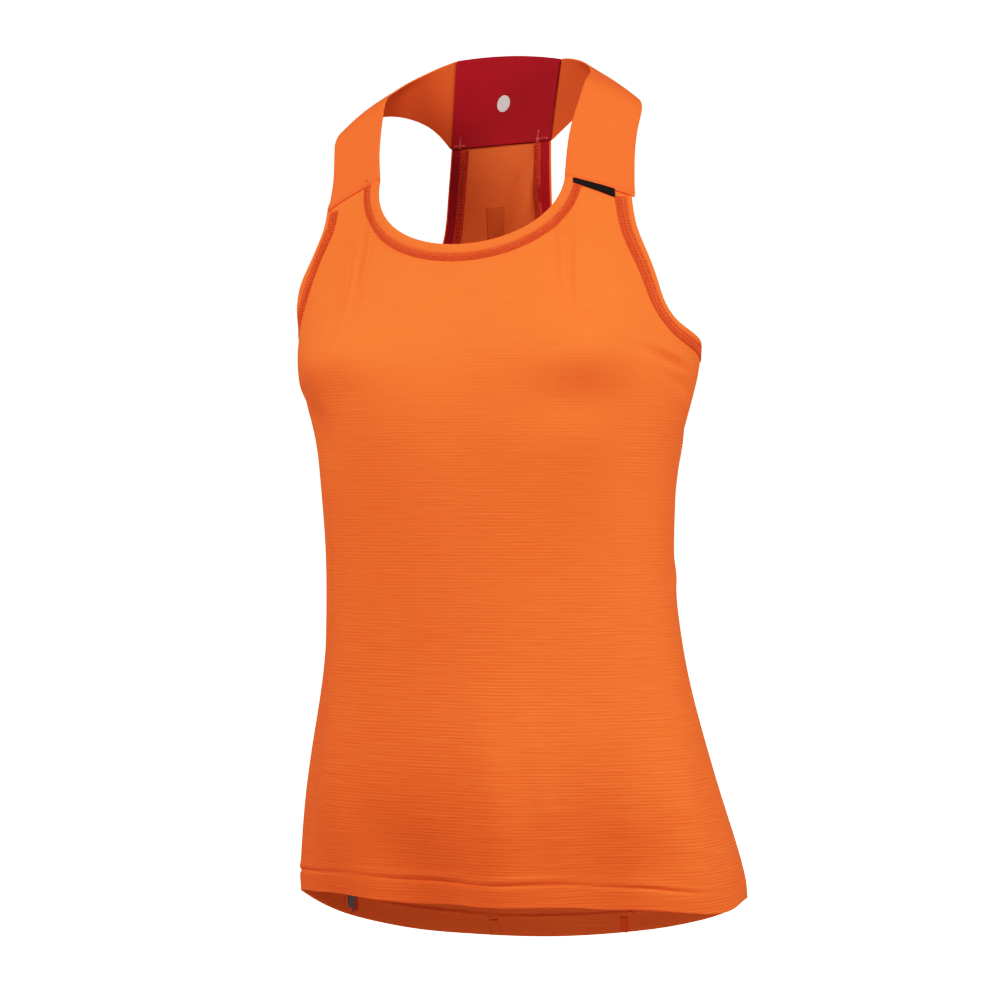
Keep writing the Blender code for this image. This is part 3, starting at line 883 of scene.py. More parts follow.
def tube_rings(points, normals, radius, sides):
    """Rings of a round thread along points: cosine of the turn sideways and sine of it out."""
    ahead = unit(np.gradient(points, axis=-2))
    sideways = unit(np.cross(ahead, normals))
    out = np.cross(sideways, ahead)
    turn = 2 * np.pi * np.arange(sides) / sides
    ring = (np.cos(turn)[:, None] * sideways[..., None, :]
            + np.sin(turn)[:, None] * out[..., None, :])
    return points[..., None, :] + ring * np.asarray(radius)[..., None, None]


def thread_faces(strands, rings, sides):
    """Corner numbers of many threads' walls and end caps."""
    wall = grid_quads(rings, sides, closed=True)[:, ::-1]
    cap = np.arange(sides)[None, :]
    starts = np.arange(strands)[:, None, None] * rings * sides
    ends = np.concatenate((cap, cap[:, ::-1] + (rings - 1) * sides))
    return [(wall + starts).reshape(-1, 4), (ends + starts).reshape(-1, sides)]


def put_threads(name, strands, normals, radius, finish, sides=5):
    """Threads from an array of strands, each a line of points with normals."""
    grid = tube_rings(strands, normals, radius, sides)
    count, rings = grid.shape[:2]
    return put_mesh(name, grid.reshape(-1, 3), thread_faces(count, rings, sides), finish)


def running_stitches(points, normals, pitch, radius):
    """Short stitches along a line: each rises in an arch from the cloth and dips back in."""
    length = run_lengths(points)
    count = int(length[-1] / pitch)
    start = (np.arange(count) + 0.5 * (1 - STITCH_SHARE)) * pitch
    share = np.linspace(0, 1, 5)
    places = start[:, None] + share * pitch * STITCH_SHARE
    line = np.stack([np.interp(places, length, points[:, axis]) for axis in range(3)], axis=-1)
    out = unit(np.stack([np.interp(places, length, normals[:, axis]) for axis in range(3)], -1))
    arch = (np.sin(np.pi * share) * 2 * radius - radius)[None, :, None]
    slim = radius * (0.55 + 0.45 * np.sin(np.pi * share))
    return line + out * arch, out, np.broadcast_to(slim, places.shape)


def zigzag_thread(edge, low, high, pitch, rise, radius, face):
    """One thread that swings to and fro between two distances from an edge."""
    angle, height, steps = edge
    length = run_lengths(figure(angle, height))
    count = int(length[-1] / pitch) * 6
    places = np.linspace(0, length[-1], count + 1)
    fine = (np.interp(places, length, angle), np.interp(places, length, height),
            np.stack([np.interp(places, length, steps[:, axis]) for axis in (0, 1)], axis=-1))
    turn = 2 * np.pi * places / pitch
    swing = np.sin(turn) + 0.12 * np.sin(3 * turn)
    inward = (low + high) / 2 + (high - low) / 2 * swing
    points, normals = beside_edge(fine, inward, rise + 0.12 * radius * np.cos(2 * turn), face)
    return points[None], normals[None], np.full((1, len(places)), radius)


def put_cover_stitch(name, edge, low, high, face, finishes, rise=0.0):
    """A cover-stitched band along an edge: a bed of thread, a zigzag and two needle rows."""
    outer_bed, inner_bed, strand_finish, needle_finish = finishes
    radius = sizes().thread_thickness / METRES / 2
    pitch = sizes().stitch_length / METRES
    top = rise + sizes().band_height / METRES
    middle = (low + high) / 2
    outer = rounded_bar(low, middle, rise - 0.2, top, 0.2)
    inner = rounded_bar(middle, high, rise - 0.2, top, 0.2)
    pieces = [put_bar(f"{name}_outer_bed", edge, outer, outer_bed, face),
              put_bar(f"{name}_inner_bed", edge, inner, inner_bed, face)]
    zigzag = zigzag_thread(edge, low + radius, high - radius, pitch, top, radius, face)
    pieces.append(put_threads(f"{name}_zigzag", *zigzag, strand_finish, sides=4))
    for number, inward in enumerate((low + NEEDLE_INSET, middle, high - NEEDLE_INSET)):
        line = beside_edge(edge, inward, top + 0.6 * radius, face)
        pieces.append(put_row(f"{name}_needle_{number + 1}", line, needle_finish))
    return pieces


def put_row(name, line, finish):
    """One row of short stitches along a line of points with normals."""
    radius = sizes().thread_thickness / METRES / 2
    pitch = sizes().stitch_length / METRES * ROW_STITCH_SHARE
    stitches = running_stitches(*line, pitch, radius)
    return put_threads(name, *stitches, finish)


# ---------------------------------------------------------------- colours and materials

def linear(code):
    """An sRGB hex colour as linear red, green and blue."""
    parts = np.array([int(code[place:place + 2], 16) for place in (1, 3, 5)]) / 255
    return tuple(np.where(parts <= 0.04045, parts / 12.92, ((parts + 0.055) / 1.055) ** 2.4))


def sizes():
    """The garment's adjustable sizes."""
    return bpy.context.scene.running_top_sizes


def colours():
    """The garment's adjustable colours."""
    return bpy.context.scene.running_top_colours


def add(tree, kind, inputs=None, **settings):
    """Adds a node with its settings; each input is a value or another node's output."""
    node = tree.nodes.new(kind)
    for setting, value in settings.items():
        setattr(node, setting, value)
    for socket, value in (inputs or {}).items():
        if isinstance(value, bpy.types.NodeSocket):
            tree.links.new(value, node.inputs[socket])
        else:
            node.inputs[socket].default_value = value
    return node


def new_material(name, roughness, specular, sheen, sheen_tint=(1.0, 1.0, 1.0)):
    """A cloth-like material's tree and shader, with its constant settings made."""
    made = bpy.data.materials.get(name)
    if made:
        return made, None, None
    made = bpy.data.materials.new(name)
    made.use_nodes = True
    shader = made.node_tree.nodes["Principled BSDF"]
    shader.inputs["Roughness"].default_value = roughness
    shader.inputs["Specular IOR Level"].default_value = specular
    shader.inputs["Sheen Weight"].default_value = sheen
    shader.inputs["Sheen Roughness"].default_value = 0.45
    shader.inputs["Sheen Tint"].default_value = (*sheen_tint, 1)
    return made, made.node_tree, shader


def paint(tree, shader, share, dark, light):
    """Sets a shader's colour to a blend from dark to light, by another node's share."""
    tone = add(tree, "ShaderNodeMix", {0: share, 6: (*dark, 1), 7: (*light, 1)},
               data_type="RGBA")
    tree.links.new(tone.outputs[2], shader.inputs["Base Color"])


def rib_knit(name, light, dark, rib=RIB_SPACING, contrast=1.0):
    """Light polyester running knit with fine broken cross ribs.

    It gives the eye level hairline ribs that fade in and out, with painted shade between the
    ribs that is fainter over the chest and full lower down, a matt face and a soft bloom where it
    turns away. The ribs lie a little wider than the photo's, and the grain of the stitches is
    drawn coarse so that it shows.
    """
    made, tree, shader = new_material(name, 0.82, 0.25, 0.12, linear("#FFB27A"))
    if tree is None:
        return made
    flat = add(tree, "ShaderNodeUVMap", uv_map="cloth").outputs["UV"]
    split = add(tree, "ShaderNodeSeparateXYZ", {0: flat})
    streak_place = add(tree, "ShaderNodeMapping", {"Vector": flat, "Scale": (26, 2.1 / rib, 1)})
    streaks = add(tree, "ShaderNodeTexNoise", {"Vector": streak_place.outputs[0], "Scale": 1.0,
                                               "Detail": 1.5, "Roughness": 0.5})
    patch_place = add(tree, "ShaderNodeMapping", {"Vector": flat, "Scale": (17, 26, 1)})
    patches = add(tree, "ShaderNodeTexNoise", {"Vector": patch_place.outputs[0], "Scale": 1.0,
                                               "Detail": 2.0})
    strength = add(tree, "ShaderNodeMapRange", {0: patches.outputs[0], 1: 0.40, 2: 0.66,
                                                3: 0.22, 4: 0.55})
    rise = add(tree, "ShaderNodeMath", {0: split.outputs[1], 1: 2 * np.pi / rib},
               operation="MULTIPLY")
    ribs = add(tree, "ShaderNodeMath", {0: rise.outputs[0]}, operation="SINE")
    woven = add(tree, "ShaderNodeMath", {0: ribs.outputs[0], 1: strength.outputs[0]},
                operation="MULTIPLY")
    streak = add(tree, "ShaderNodeMapRange", {0: streaks.outputs[0], 1: 0.30, 2: 0.70,
                                              3: -1.0, 4: 1.0})
    lines = add(tree, "ShaderNodeMath", {0: streak.outputs[0], 1: 0.62, 2: woven.outputs[0]},
                operation="MULTIPLY_ADD")
    # The ribs' painted shade and the streaks: fainter high on the cloth, full lower down.
    rib_shade_strength = add(tree, "ShaderNodeMapRange", {0: split.outputs[1], 1: -0.20, 2: -0.48,
                                             3: 0.42 * contrast, 4: contrast})
    drawn = add(tree, "ShaderNodeMath", {0: lines.outputs[0], 1: rib_shade_strength.outputs[0]},
                operation="MULTIPLY")
    # Colour from dark to light across the ribs: painted shade between them, with streaks of random
    # tone.
    shade = add(tree, "ShaderNodeMapRange", {0: drawn.outputs[0], 1: -1.2, 2: 1.2})
    paint(tree, shader, shade.outputs[0], dark, light)
    stitch_place = add(tree, "ShaderNodeMapping", {"Vector": flat, "Scale": (1100, 900, 1)})
    stitches = add(tree, "ShaderNodeTexNoise", {"Vector": stitch_place.outputs[0], "Scale": 1.0,
                                                "Detail": 1.0})
    relief = add(tree, "ShaderNodeMath", {0: stitches.outputs[0], 1: 0.25,
                                          2: drawn.outputs[0]}, operation="MULTIPLY_ADD")
    bump = add(tree, "ShaderNodeBump", {"Strength": 0.22, "Distance": 0.0004,
                                        "Height": relief.outputs[0]})
    tree.links.new(bump.outputs[0], shader.inputs["Normal"])
    return made


def woven_tape(name, colour, dark, across=0.0011, along=0.0008, roughness=0.75):
    """Smooth woven or fine-knit trim: a small even grain in two directions, matt."""
    made, tree, shader = new_material(name, roughness, 0.3, 0.15, colour)
    if tree is None:
        return made
    flat = add(tree, "ShaderNodeUVMap", uv_map="cloth").outputs["UV"]
    place = add(tree, "ShaderNodeMapping", {"Vector": flat, "Scale": (1 / across, 1 / along, 1)})
    grain = add(tree, "ShaderNodeTexNoise", {"Vector": place.outputs[0], "Scale": 1.0,
                                             "Detail": 2.0})
    cloud_place = add(tree, "ShaderNodeMapping", {"Vector": flat, "Scale": (40, 40, 1)})
    cloud = add(tree, "ShaderNodeTexNoise", {"Vector": cloud_place.outputs[0], "Scale": 1.0})
    share = add(tree, "ShaderNodeMath", {0: grain.outputs[0], 1: 0.5, 2: cloud.outputs[0]},
                operation="MULTIPLY_ADD")
    level = add(tree, "ShaderNodeMapRange", {0: share.outputs[0], 1: 0.35, 2: 1.1})
    paint(tree, shader, level.outputs[0], dark, colour)
    bump = add(tree, "ShaderNodeBump", {"Strength": 0.25, "Distance": 0.0003,
                                        "Height": grain.outputs[0]})
    tree.links.new(bump.outputs[0], shader.inputs["Normal"])
    return made


def spun_thread(name, colour, dark):
    """Polyester sewing thread: a slight gloss, darker where strands lie in each other's shade."""
    made, tree, shader = new_material(name, 0.6, 0.35, 0.1, colour)
    if tree is None:
        return made
    place = add(tree, "ShaderNodeTexCoord").outputs["Object"]
    fibres = add(tree, "ShaderNodeTexNoise", {"Vector": place, "Scale": 650.0, "Detail": 2.0})
    level = add(tree, "ShaderNodeMapRange", {0: fibres.outputs[0], 1: 0.38, 2: 0.62})
    paint(tree, shader, level.outputs[0], dark, colour)
    return made


def matt_paper(name, colour):
    """Studio paper: plain, pale and matt, with a faint tooth."""
    made, tree, shader = new_material(name, 0.9, 0.2, 0.0)
    if tree is None:
        return made
    place = add(tree, "ShaderNodeTexCoord").outputs["Object"]
    tooth = add(tree, "ShaderNodeTexNoise", {"Vector": place, "Scale": 3.0, "Detail": 3.0})
    paint(tree, shader, tooth.outputs[0], 0.97 * np.array(colour), colour)
    seen = add(tree, "ShaderNodeLightPath").outputs["Is Camera Ray"]
    glow = add(tree, "ShaderNodeMath", {0: seen, 1: FLOOR_GLOW}, operation="MULTIPLY")
    shader.inputs["Emission Color"].default_value = (1, 1, 1, 1)
    tree.links.new(glow.outputs[0], shader.inputs["Emission Strength"])
    return made


def orange_knit():
    """The main cloth."""
    return rib_knit("orange_rib_knit", colours().cloth_light, colours().cloth_dark)


def strap_knit_painted_shade():
    """The body's cloth painted a little darker on the straps: painted shade over the shoulders."""
    return rib_knit("orange_rib_knit_strap_painted_shade", linear("#F27942"), linear("#E56937"), contrast=0.6)


def panel_reverse_painted_shade():
    """The wrong side of the front's and back's cloth, darker and duller than its face: painted shade of
    the garment's inside.
    """
    return rib_knit("orange_rib_knit_inside_painted_shade", linear("#D67845"), linear("#CA6A39"), contrast=0.8)


def strap_reverse_painted_shade():
    """The wrong side of the straps' cloth, painted darker than its face: painted shade inside the
    straps.
    """
    return rib_knit("orange_rib_knit_reverse_painted_shade", linear("#C96536"), linear("#BF5D32"), contrast=0.6)


def orange_binding():
    """The same cloth folded small, so its ribs hardly show."""
    return rib_knit("folded_orange_knit", colours().binding_light, colours().binding_dark,
                    rib=BINDING_RIB_SPACING, contrast=0.5)


def red_facing():
    """Fine plain red knit of the yoke facing and the racer tapes."""
    return woven_tape("red_facing_knit", colours().facing, linear("#901423"))


def shaded_knit():
    """The main cloth where a pressed patch darkens it."""
    return rib_knit("pressed_orange_knit", linear("#C86C3A"), linear("#BA6032"), contrast=0.5)


def spun_orange():
    """Tone-on-tone thread of the hem, the straps and the side seams."""
    return spun_thread("orange_thread", linear("#F57F45"), linear("#D8683A"))


def pale_red_thread():
    """Thread of the bar tacks on the red facing."""
    return spun_thread("pale_red_thread", linear("#D0706A"), linear("#B85058"))


def black_label():
    """Fine black satin label tape, left plain."""
    return woven_tape("black_label_satin", colours().label, linear("#140D0C"), 0.0005, 0.0003,
                      roughness=0.5)


def grey_tab():
    """Grey woven size tab, left plain."""
    return woven_tape("grey_tab_tape", colours().tab, linear("#6E6365"), 0.0006, 0.0005)


def grey_print():
    """Flat grey heat-pressed print."""
    made, tree, shader = new_material("grey_pressed_print", 0.7, 0.3, 0.0)
    if tree is None:
        return made
    place = add(tree, "ShaderNodeTexCoord").outputs["Object"]
    wear = add(tree, "ShaderNodeTexNoise", {"Vector": place, "Scale": 900.0, "Detail": 2.0})
    level = add(tree, "ShaderNodeMapRange", {0: wear.outputs[0], 1: 0.3, 2: 0.7})
    paint(tree, shader, level.outputs[0], linear("#B9AFAB"), linear("#C9BFBB"))
    return made


def outer_thread():
    """Two halves of the bed, strands and needle rows of the red-orange cover stitching."""
    return (woven_tape("cover_stitch_bed", linear("#E4723F"), linear("#D86838"), 0.0006, 0.0009),
            woven_tape("cover_stitch_bed_shaded", linear("#D66436"), linear("#C85A30"),
                       0.0006, 0.0009),
            spun_thread("red_orange_thread", colours().thread, linear("#D66436")),
            spun_thread("needle_thread", linear("#CC5A30"), linear("#B44C28")))


def inner_thread():
    """Two halves of the bed, strands and needle rows of the stitching on the red tapes."""
    return (woven_tape("taped_stitch_bed", linear("#C8502F"), linear("#B04428"), 0.0006, 0.0009),
            woven_tape("taped_stitch_bed_shaded", linear("#B8442A"), linear("#A03A24"),
                       0.0006, 0.0009),
            spun_thread("brick_thread", linear("#D05C38"), linear("#AA4428")),
            spun_thread("brick_needle_thread", linear("#A83E26"), linear("#90341F")))


# ---------------------------------------------------------------- settings

class RunningTopSizes(bpy.types.PropertyGroup):
    """Sizes that a maker would change without a new cut."""

    hem_turn_up: bpy.props.FloatProperty(
        name="Hem turn-up", description="Height of the hem's stitches over its edge",
        default=0.0152, min=0.008, max=0.03, unit="LENGTH")
    neck_band: bpy.props.FloatProperty(
        name="Neck band", description="Width of the smooth edge at the neck",
        default=0.0066, min=0.004, max=0.012, unit="LENGTH")
    arm_band: bpy.props.FloatProperty(
        name="Armhole band", description="Width of the smooth edge at the armholes",
        default=0.0036, min=0.002, max=0.01, unit="LENGTH")
    neck_stitch_band: bpy.props.FloatProperty(
        name="Neck cover stitch", description="Width of the stitched band at the neck",
        default=0.0056, min=0.003, max=0.01, unit="LENGTH")
    arm_stitch_band: bpy.props.FloatProperty(
        name="Armhole cover stitch", description="Width of the stitched bands at the armholes",
        default=0.0074, min=0.003, max=0.012, unit="LENGTH")
    band_height: bpy.props.FloatProperty(
        name="Cover-stitch height", description="How far the stitched band stands off the cloth",
        default=0.0004, min=0.0001, max=0.001, unit="LENGTH")
    stitch_length: bpy.props.FloatProperty(
        name="Stitch length", description="Length of one stitch of the zigzag",
        default=0.0017, min=0.001, max=0.004, unit="LENGTH")
    thread_thickness: bpy.props.FloatProperty(
        name="Thread thickness", description="Thickness of the sewing thread, drawn a bit bold",
        default=0.00042, min=0.0002, max=0.001, unit="LENGTH")


class RunningTopColours(bpy.types.PropertyGroup):
    """Colours of the cloths and the thread, as linear red, green and blue."""

    cloth_light: bpy.props.FloatVectorProperty(
        name="Cloth, light", description="The knit on the crown of its ribs",
        subtype="COLOR", default=linear("#F57F45"), min=0, max=1)
    # Painted shade between the knit's ribs.
    cloth_dark: bpy.props.FloatVectorProperty(
        name="Cloth, dark", description="The knit between its ribs",
        subtype="COLOR", default=linear("#E86F38"), min=0, max=1)
    binding_light: bpy.props.FloatVectorProperty(
        name="Edge band, light", description="Folded knit at neck and armholes",
        subtype="COLOR", default=linear("#F07A42"), min=0, max=1)
    # Painted shade between the ribs of the folded knit.
    binding_dark: bpy.props.FloatVectorProperty(
        name="Edge band, dark", description="Folded knit at neck and armholes, in its grain",
        subtype="COLOR", default=linear("#E8703B"), min=0, max=1)
    facing: bpy.props.FloatVectorProperty(
        name="Facing", description="Red knit behind the neck and along the racer back",
        subtype="COLOR", default=linear("#9D1729"), min=0, max=1)
    thread: bpy.props.FloatVectorProperty(
        name="Thread", description="Red-orange cover-stitch thread",
        subtype="COLOR", default=linear("#E46E3F"), min=0, max=1)
    label: bpy.props.FloatVectorProperty(
        name="Label", description="Black folded label",
        subtype="COLOR", default=linear("#1C1311"), min=0, max=1)
    tab: bpy.props.FloatVectorProperty(
        name="Tab", description="Grey tab in the side seam",
        subtype="COLOR", default=linear("#857A7C"), min=0, max=1)
    floor: bpy.props.FloatVectorProperty(
        name="Floor", description="Studio floor",
        subtype="COLOR", default=linear("#B5B4B3"), min=0, max=1)


# ---------------------------------------------------------------- pieces

def finish_piece(node):
    """Hides the solid that a piece takes the place of."""
    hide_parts(node)


def panel_edge(panel, side, spacing, rows):
    """One edge of the front or back, on the wearer's left (1) or right (-1), in some rows."""
    angle, height = front_plan() if panel == "front" else back_plan()
    column = -1 if (panel == "front") == (side > 0) else 0
    inner_side = -1 if column else 1
    return make_edge(angle[rows, column], height[rows, column], inner_side, spacing)


def armhole_edge(panel, side, spacing):
    """The armhole of the front or back."""
    return panel_edge(panel, side, spacing, slice(SIDE_ROWS, None))


def side_seam_edge(panel, side, spacing, first_row=0):
    """The side seam of the front or back, from the hem or a row above it to the underarm."""
    return panel_edge(panel, side, spacing, slice(first_row, SIDE_ROWS + 1))


def neck_edge(spacing):
    """The neckline of the front, from strap seam to strap seam."""
    angle, height = front_plan()
    neck = slice(STRAP_COLUMNS, -STRAP_COLUMNS)
    return make_edge(angle[-1, neck], height[-1, neck], 1, spacing)


def hem_stitch_edge(plan, spacing):
    """The line of the hem's stitches on a panel."""
    angle = plan[0][0]
    return make_edge(angle, hem_height(angle) + hem_line(angle), -1, spacing)


def yoke_and_straps():
    """Grids of the yoke and of both straps, built between the front, the back and the yoke."""
    front, _ = surface(*front_plan())
    back, _ = surface(*back_plan())
    yoke = yoke_grid(moved_up(back[-1], SEAM_GAP))
    straps = {}
    for side in (1, -1):
        seam = front[-1, -1 - STRAP_COLUMNS:] if side > 0 else front[-1, STRAP_COLUMNS::-1]
        yoke_side = yoke[:, 0] if side > 0 else yoke[:, -1]
        seam = seam + (seam - seam[:1]) * STRAP_OVERHANG[side]
        outward = np.array([side * SEAM_GAP, 0, 0])
        strap = strap_grid(side, moved_up(seam, SEAM_GAP), yoke_side[-1] + outward,
                           yoke_side[0] + outward)
        straps[side] = strap if side > 0 else strap[:, ::-1]
    return yoke, straps


def folded_edge(low, high, base, top):
    """Profile of a folded edge band: an oval with flattened sides, fuller than a plain oval."""
    turn = np.linspace(0, 2 * np.pi, BAND_SIDES, endpoint=False)
    across = np.sign(np.cos(turn)) * np.abs(np.cos(turn)) ** 0.45
    out = np.sign(np.sin(turn)) * np.abs(np.sin(turn)) ** 0.7
    return list(zip((low + high) / 2 + (high - low) / 2 * across,
                    (base + top) / 2 + (top - base) / 2 * out))


def put_tack(name, centre, along, out, length, finish):
    """A bar tack: thread swung closely to and fro across a short line."""
    radius = sizes().thread_thickness / METRES / 2
    swings = int(length / (2.2 * radius))
    share = np.linspace(0, 1, swings * 4 + 1)
    side = np.cross(out, along)
    sway = 2 / np.pi * np.arcsin(np.sin(2 * np.pi * share * swings / 2))
    line = (centre + along * ((share - 0.5) * length)[:, None]
            + side * (sway * TACK_WIDTH / 2)[:, None] + out * 0.6 * radius)
    return put_threads(name, line[None], np.broadcast_to(out, line.shape)[None],
                       np.full((1, len(line)), radius), finish)


def yoke_frame(yoke, place, share):
    """Point of the yoke facing's inner face, with unit directions across, up and inwards."""
    row = int(round(share * (len(yoke) - 1)))
    column = int(round(place * (yoke.shape[1] - 1)))
    across = unit(yoke[row, column + 2] - yoke[row, column - 2])
    upward = unit(yoke[min(row + 1, len(yoke) - 1), column] - yoke[max(row - 1, 0), column])
    inward = unit(np.cross(upward, across))
    depth = WALL / 2 + SEAM_GAP + TRIM_WALL + 0.4 * (share < 0.1)
    return yoke[row, column] + inward * depth, across, upward, inward


def put_hem_stitches(name, plan):
    """A hem's row of stitches outside and its overedge zigzag inside, on one panel."""
    edge = hem_stitch_edge(plan, STITCH_STEP)
    row = put_row(f"{name}_hem_stitches", beside_edge(edge, 0.0, -0.1, 1), spun_orange())
    inside = zigzag_thread(edge, -2.2, 1.6, 2.4, 0.0, 0.22, -1)
    return [row, put_threads(f"{name}_hem_overedge", *inside, spun_orange(), sides=4)]


def put_side_seam(panel, word, side):
    """A side seam's stitches outside and its seam allowance inside, on one panel."""
    edge = side_seam_edge(panel, side, BAND_STEP)
    row = put_row(f"{panel}_side_stitches_{word}", beside_edge(edge, 1.8, 0.0, 1), spun_orange())
    # The back's allowances take the darker brick bed colour as painted shade of the gap at its seams;
    # the front's take the inside's painted shade.
    finish = panel_reverse_painted_shade() if panel == "front" else inner_thread()[0]
    allowance = put_bar(f"{panel}_side_allowance_{word}",
                        side_seam_edge(panel, side, BAND_STEP, ALLOWANCE_FROM_ROW),
                        rounded_bar(0.4, ALLOWANCE_WIDTH, -0.1, 0.8, 0.3), finish, -1)
    return [row, allowance]


def put_back_seam(word, way):
    """One of the back's shaping seams: its allowance inside, and two rows of stitches outside.

    The allowance has two finishes, because the turned-up hem covers its lower end.
    """
    share = np.linspace(0, 1, 240)
    angle = BACK_SEAM_MIDDLE + (BACK_SEAM_TOP_MIDDLE - BACK_SEAM_MIDDLE) * share
    angle = angle + way * (BACK_SEAM_AT_HEM + BACK_SEAM_SPREAD * share)
    low = hem_height(angle)
    edge = make_edge(angle, low + (BACK_SEAM_TOP - low) * share, 1, BACK_SEAM_STEP)
    finish = outer_thread()[1] if word == "left" else panel_reverse_painted_shade()
    turned = int(BACK_SEAM_TURNED / BACK_SEAM_STEP)
    profile = rounded_bar(-BACK_SEAM_HALF_WIDTH, BACK_SEAM_HALF_WIDTH, -0.1, 0.7, 0.3)
    pieces = []
    for part, steps, cloth in (("hem", slice(0, turned), finish),
                               ("upper", slice(turned, None), panel_reverse_painted_shade())):
        pieces.append(put_bar(f"back_seam_{part}_{word}", [value[steps] for value in edge],
                              profile, cloth, -1))
    for number, place in enumerate(BACK_SEAM_ROWS):
        pieces.append(put_row(f"back_seam_stitches_{word}_{number + 1}",
                              beside_edge(edge, place, 0.0, 1), spun_orange()))
    return pieces


def put_label():
    """The folded label, which hangs from the wearer's left strap seam."""
    angle, height = front_plan()
    seam = slice(-1 - STRAP_COLUMNS, None)
    places = np.linspace(0, 1, STRAP_COLUMNS + 1)
    wanted = np.linspace(LABEL_START, LABEL_END, 31)
    label_angle = np.interp(wanted, places, angle[-1, seam])
    label_top = np.interp(wanted, places, height[-1, seam])
    drop = np.interp(wanted, (LABEL_START, LABEL_END), LABEL_DROPS)
    label_height = label_top + LABEL_TUCK - (drop + LABEL_TUCK) * np.linspace(1, 0, 9)[:, None]
    grid, normals = surface(label_angle + 0 * label_height, label_height)
    low = WALL / 2 + LABEL_OFF
    label = put_wall("shoulder_label_cloth", grid, normals, low + LABEL_THICKNESS, low,
                     black_label(), cloth_places(grid), (0.45, 0.2, 0.1, 0.2))
    finish_piece("shoulder_label")


def put_tab():
    """The grey tab inside the back hem, by the wearer's right side seam."""
    angle = -TAB_ANGLE - TAB_WIDTH_ANGLE * np.linspace(1, 0, 9)
    height = hem_height(angle) + TAB_ABOVE_HEM + TAB_LENGTH * np.linspace(0, 1, 19)[:, None]
    grid, normals = surface(angle + 0 * height, height)
    inside = -WALL / 2 - HEM_LAYER - TAB_OFF
    tab = put_wall("hem_tab_cloth", grid, normals, inside, inside - TAB_THICKNESS, grey_tab(),
                   cloth_places(grid), (0.4, 0.2, 0.1, 0.2))
    finish_piece("hem_tab")


def put_print(yoke):
    """The plain oval print on the yoke facing: ovals that shrink from its rim to its middle."""
    centre, across, upward, inward = yoke_frame(yoke, *PRINT_PLACE)
    turn = np.linspace(0, 2 * np.pi, 48, endpoint=False)
    rims, depth = np.array(PRINT_RINGS).T[..., None, None]
    oval = (PRINT_HALF_WIDTH * np.cos(turn)[:, None] * across
            + PRINT_HALF_HEIGHT * np.sin(turn)[:, None] * upward)
    points = centre + oval * rims + inward * depth
    rings, count = points.shape[:2]
    quads = grid_quads(rings, count, closed=True)
    cap = np.arange(count)[None, :]
    print_mark = put_mesh("facing_print", points.reshape(-1, 3),
                          [quads, cap[:, ::-1], cap + (rings - 1) * count], grey_print())


def put_tacks(yoke):
    """The bar tacks: four on the yoke facing and one inside the back hem."""
    for name, place, share, lies, length in YOKE_TACKS:
        centre, across, upward, inward = yoke_frame(yoke, place, share)
        along = upward if lies == "upright" else across
        put_tack(f"yoke_tack_{name}", centre, along, inward, length,
                              pale_red_thread())
    height = hem_height(BACK_TACK_ANGLE) + np.array([BACK_TACK_ABOVE_HEM])
    centre, out = surface(np.array([BACK_TACK_ANGLE]), height, -WALL / 2 - HEM_LAYER)
    across = unit(np.cross(out[0], (0, 0, 1)))
    put_tack("back_hem_tack", centre[0], across, -out[0], BACK_TACK_LENGTH,
                          inner_thread()[3])


def put_racer_patches():
    """The pressed patch on the narrow back, inside and outside."""
    height = np.linspace(-1, 1, 25)[:, None] * PATCH_HALF_HEIGHT + PATCH_HEIGHT
    angle = np.linspace(-1, 1, 17) * PATCH_HALF_ANGLE + PATCH_ANGLE + 0 * height
    grid, normals = surface(angle, height)
    for name, face, finish, rise in (("racer_patch_inside", -1, shaded_knit(), 0.12),
                                     ("racer_patch_outside", 1, orange_binding(), 0.15)):
        out = face * (WALL / 2 + rise)
        low, high = sorted((out, out - face * PATCH_THICKNESS))
        patch = put_wall(name, grid, normals, high, low, finish, cloth_places(grid),
                         (0.05, 0.05, 0.05, 0.05))


# ---------------------------------------------------------------- studio

def put_floor(scene):
    """The floor, one square of paper."""
    half = FLOOR_HALF
    mesh = bpy.data.meshes.new("studio_floor")
    mesh.from_pydata([(-half, -half, FLOOR_HEIGHT), (half, -half, FLOOR_HEIGHT),
                      (half, half, FLOOR_HEIGHT), (-half, half, FLOOR_HEIGHT)],
                     [], [(0, 1, 2, 3)])
    mesh.materials.append(matt_paper("studio_paper", tuple(colours().floor)))
    floor = bpy.data.objects.new("studio_floor", mesh)
    scene.collection.objects.link(floor)


def set_air(scene):
    """White air, full for the camera and faint for the light that it throws."""
    world = bpy.data.worlds.new("studio_air")
    world.use_nodes = True
    seen = add(world.node_tree, "ShaderNodeLightPath").outputs["Is Camera Ray"]
    strength = add(world.node_tree, "ShaderNodeMapRange", {0: seen, 3: AIR_STRENGTH, 4: 1.0})
    sky = world.node_tree.nodes["Background"]
    sky.inputs["Color"].default_value = (1, 1, 1, 1)
    world.node_tree.links.new(strength.outputs[0], sky.inputs["Strength"])
    scene.world = world


def put_lights(scene):
    """The round soft lights, each turned to its aim."""
    for name, place, aim, size, power in LIGHTS:
        lamp = bpy.data.lights.new(name, "AREA")
        lamp.shape = "DISK"
        lamp.size = size
        lamp.energy = power
        holder = bpy.data.objects.new(name, lamp)
        holder.location = place
        towards = Vector(aim) - holder.location
        holder.rotation_euler = towards.to_track_quat("-Z", "Y").to_euler()
        holder.visible_camera = False
        scene.collection.objects.link(holder)


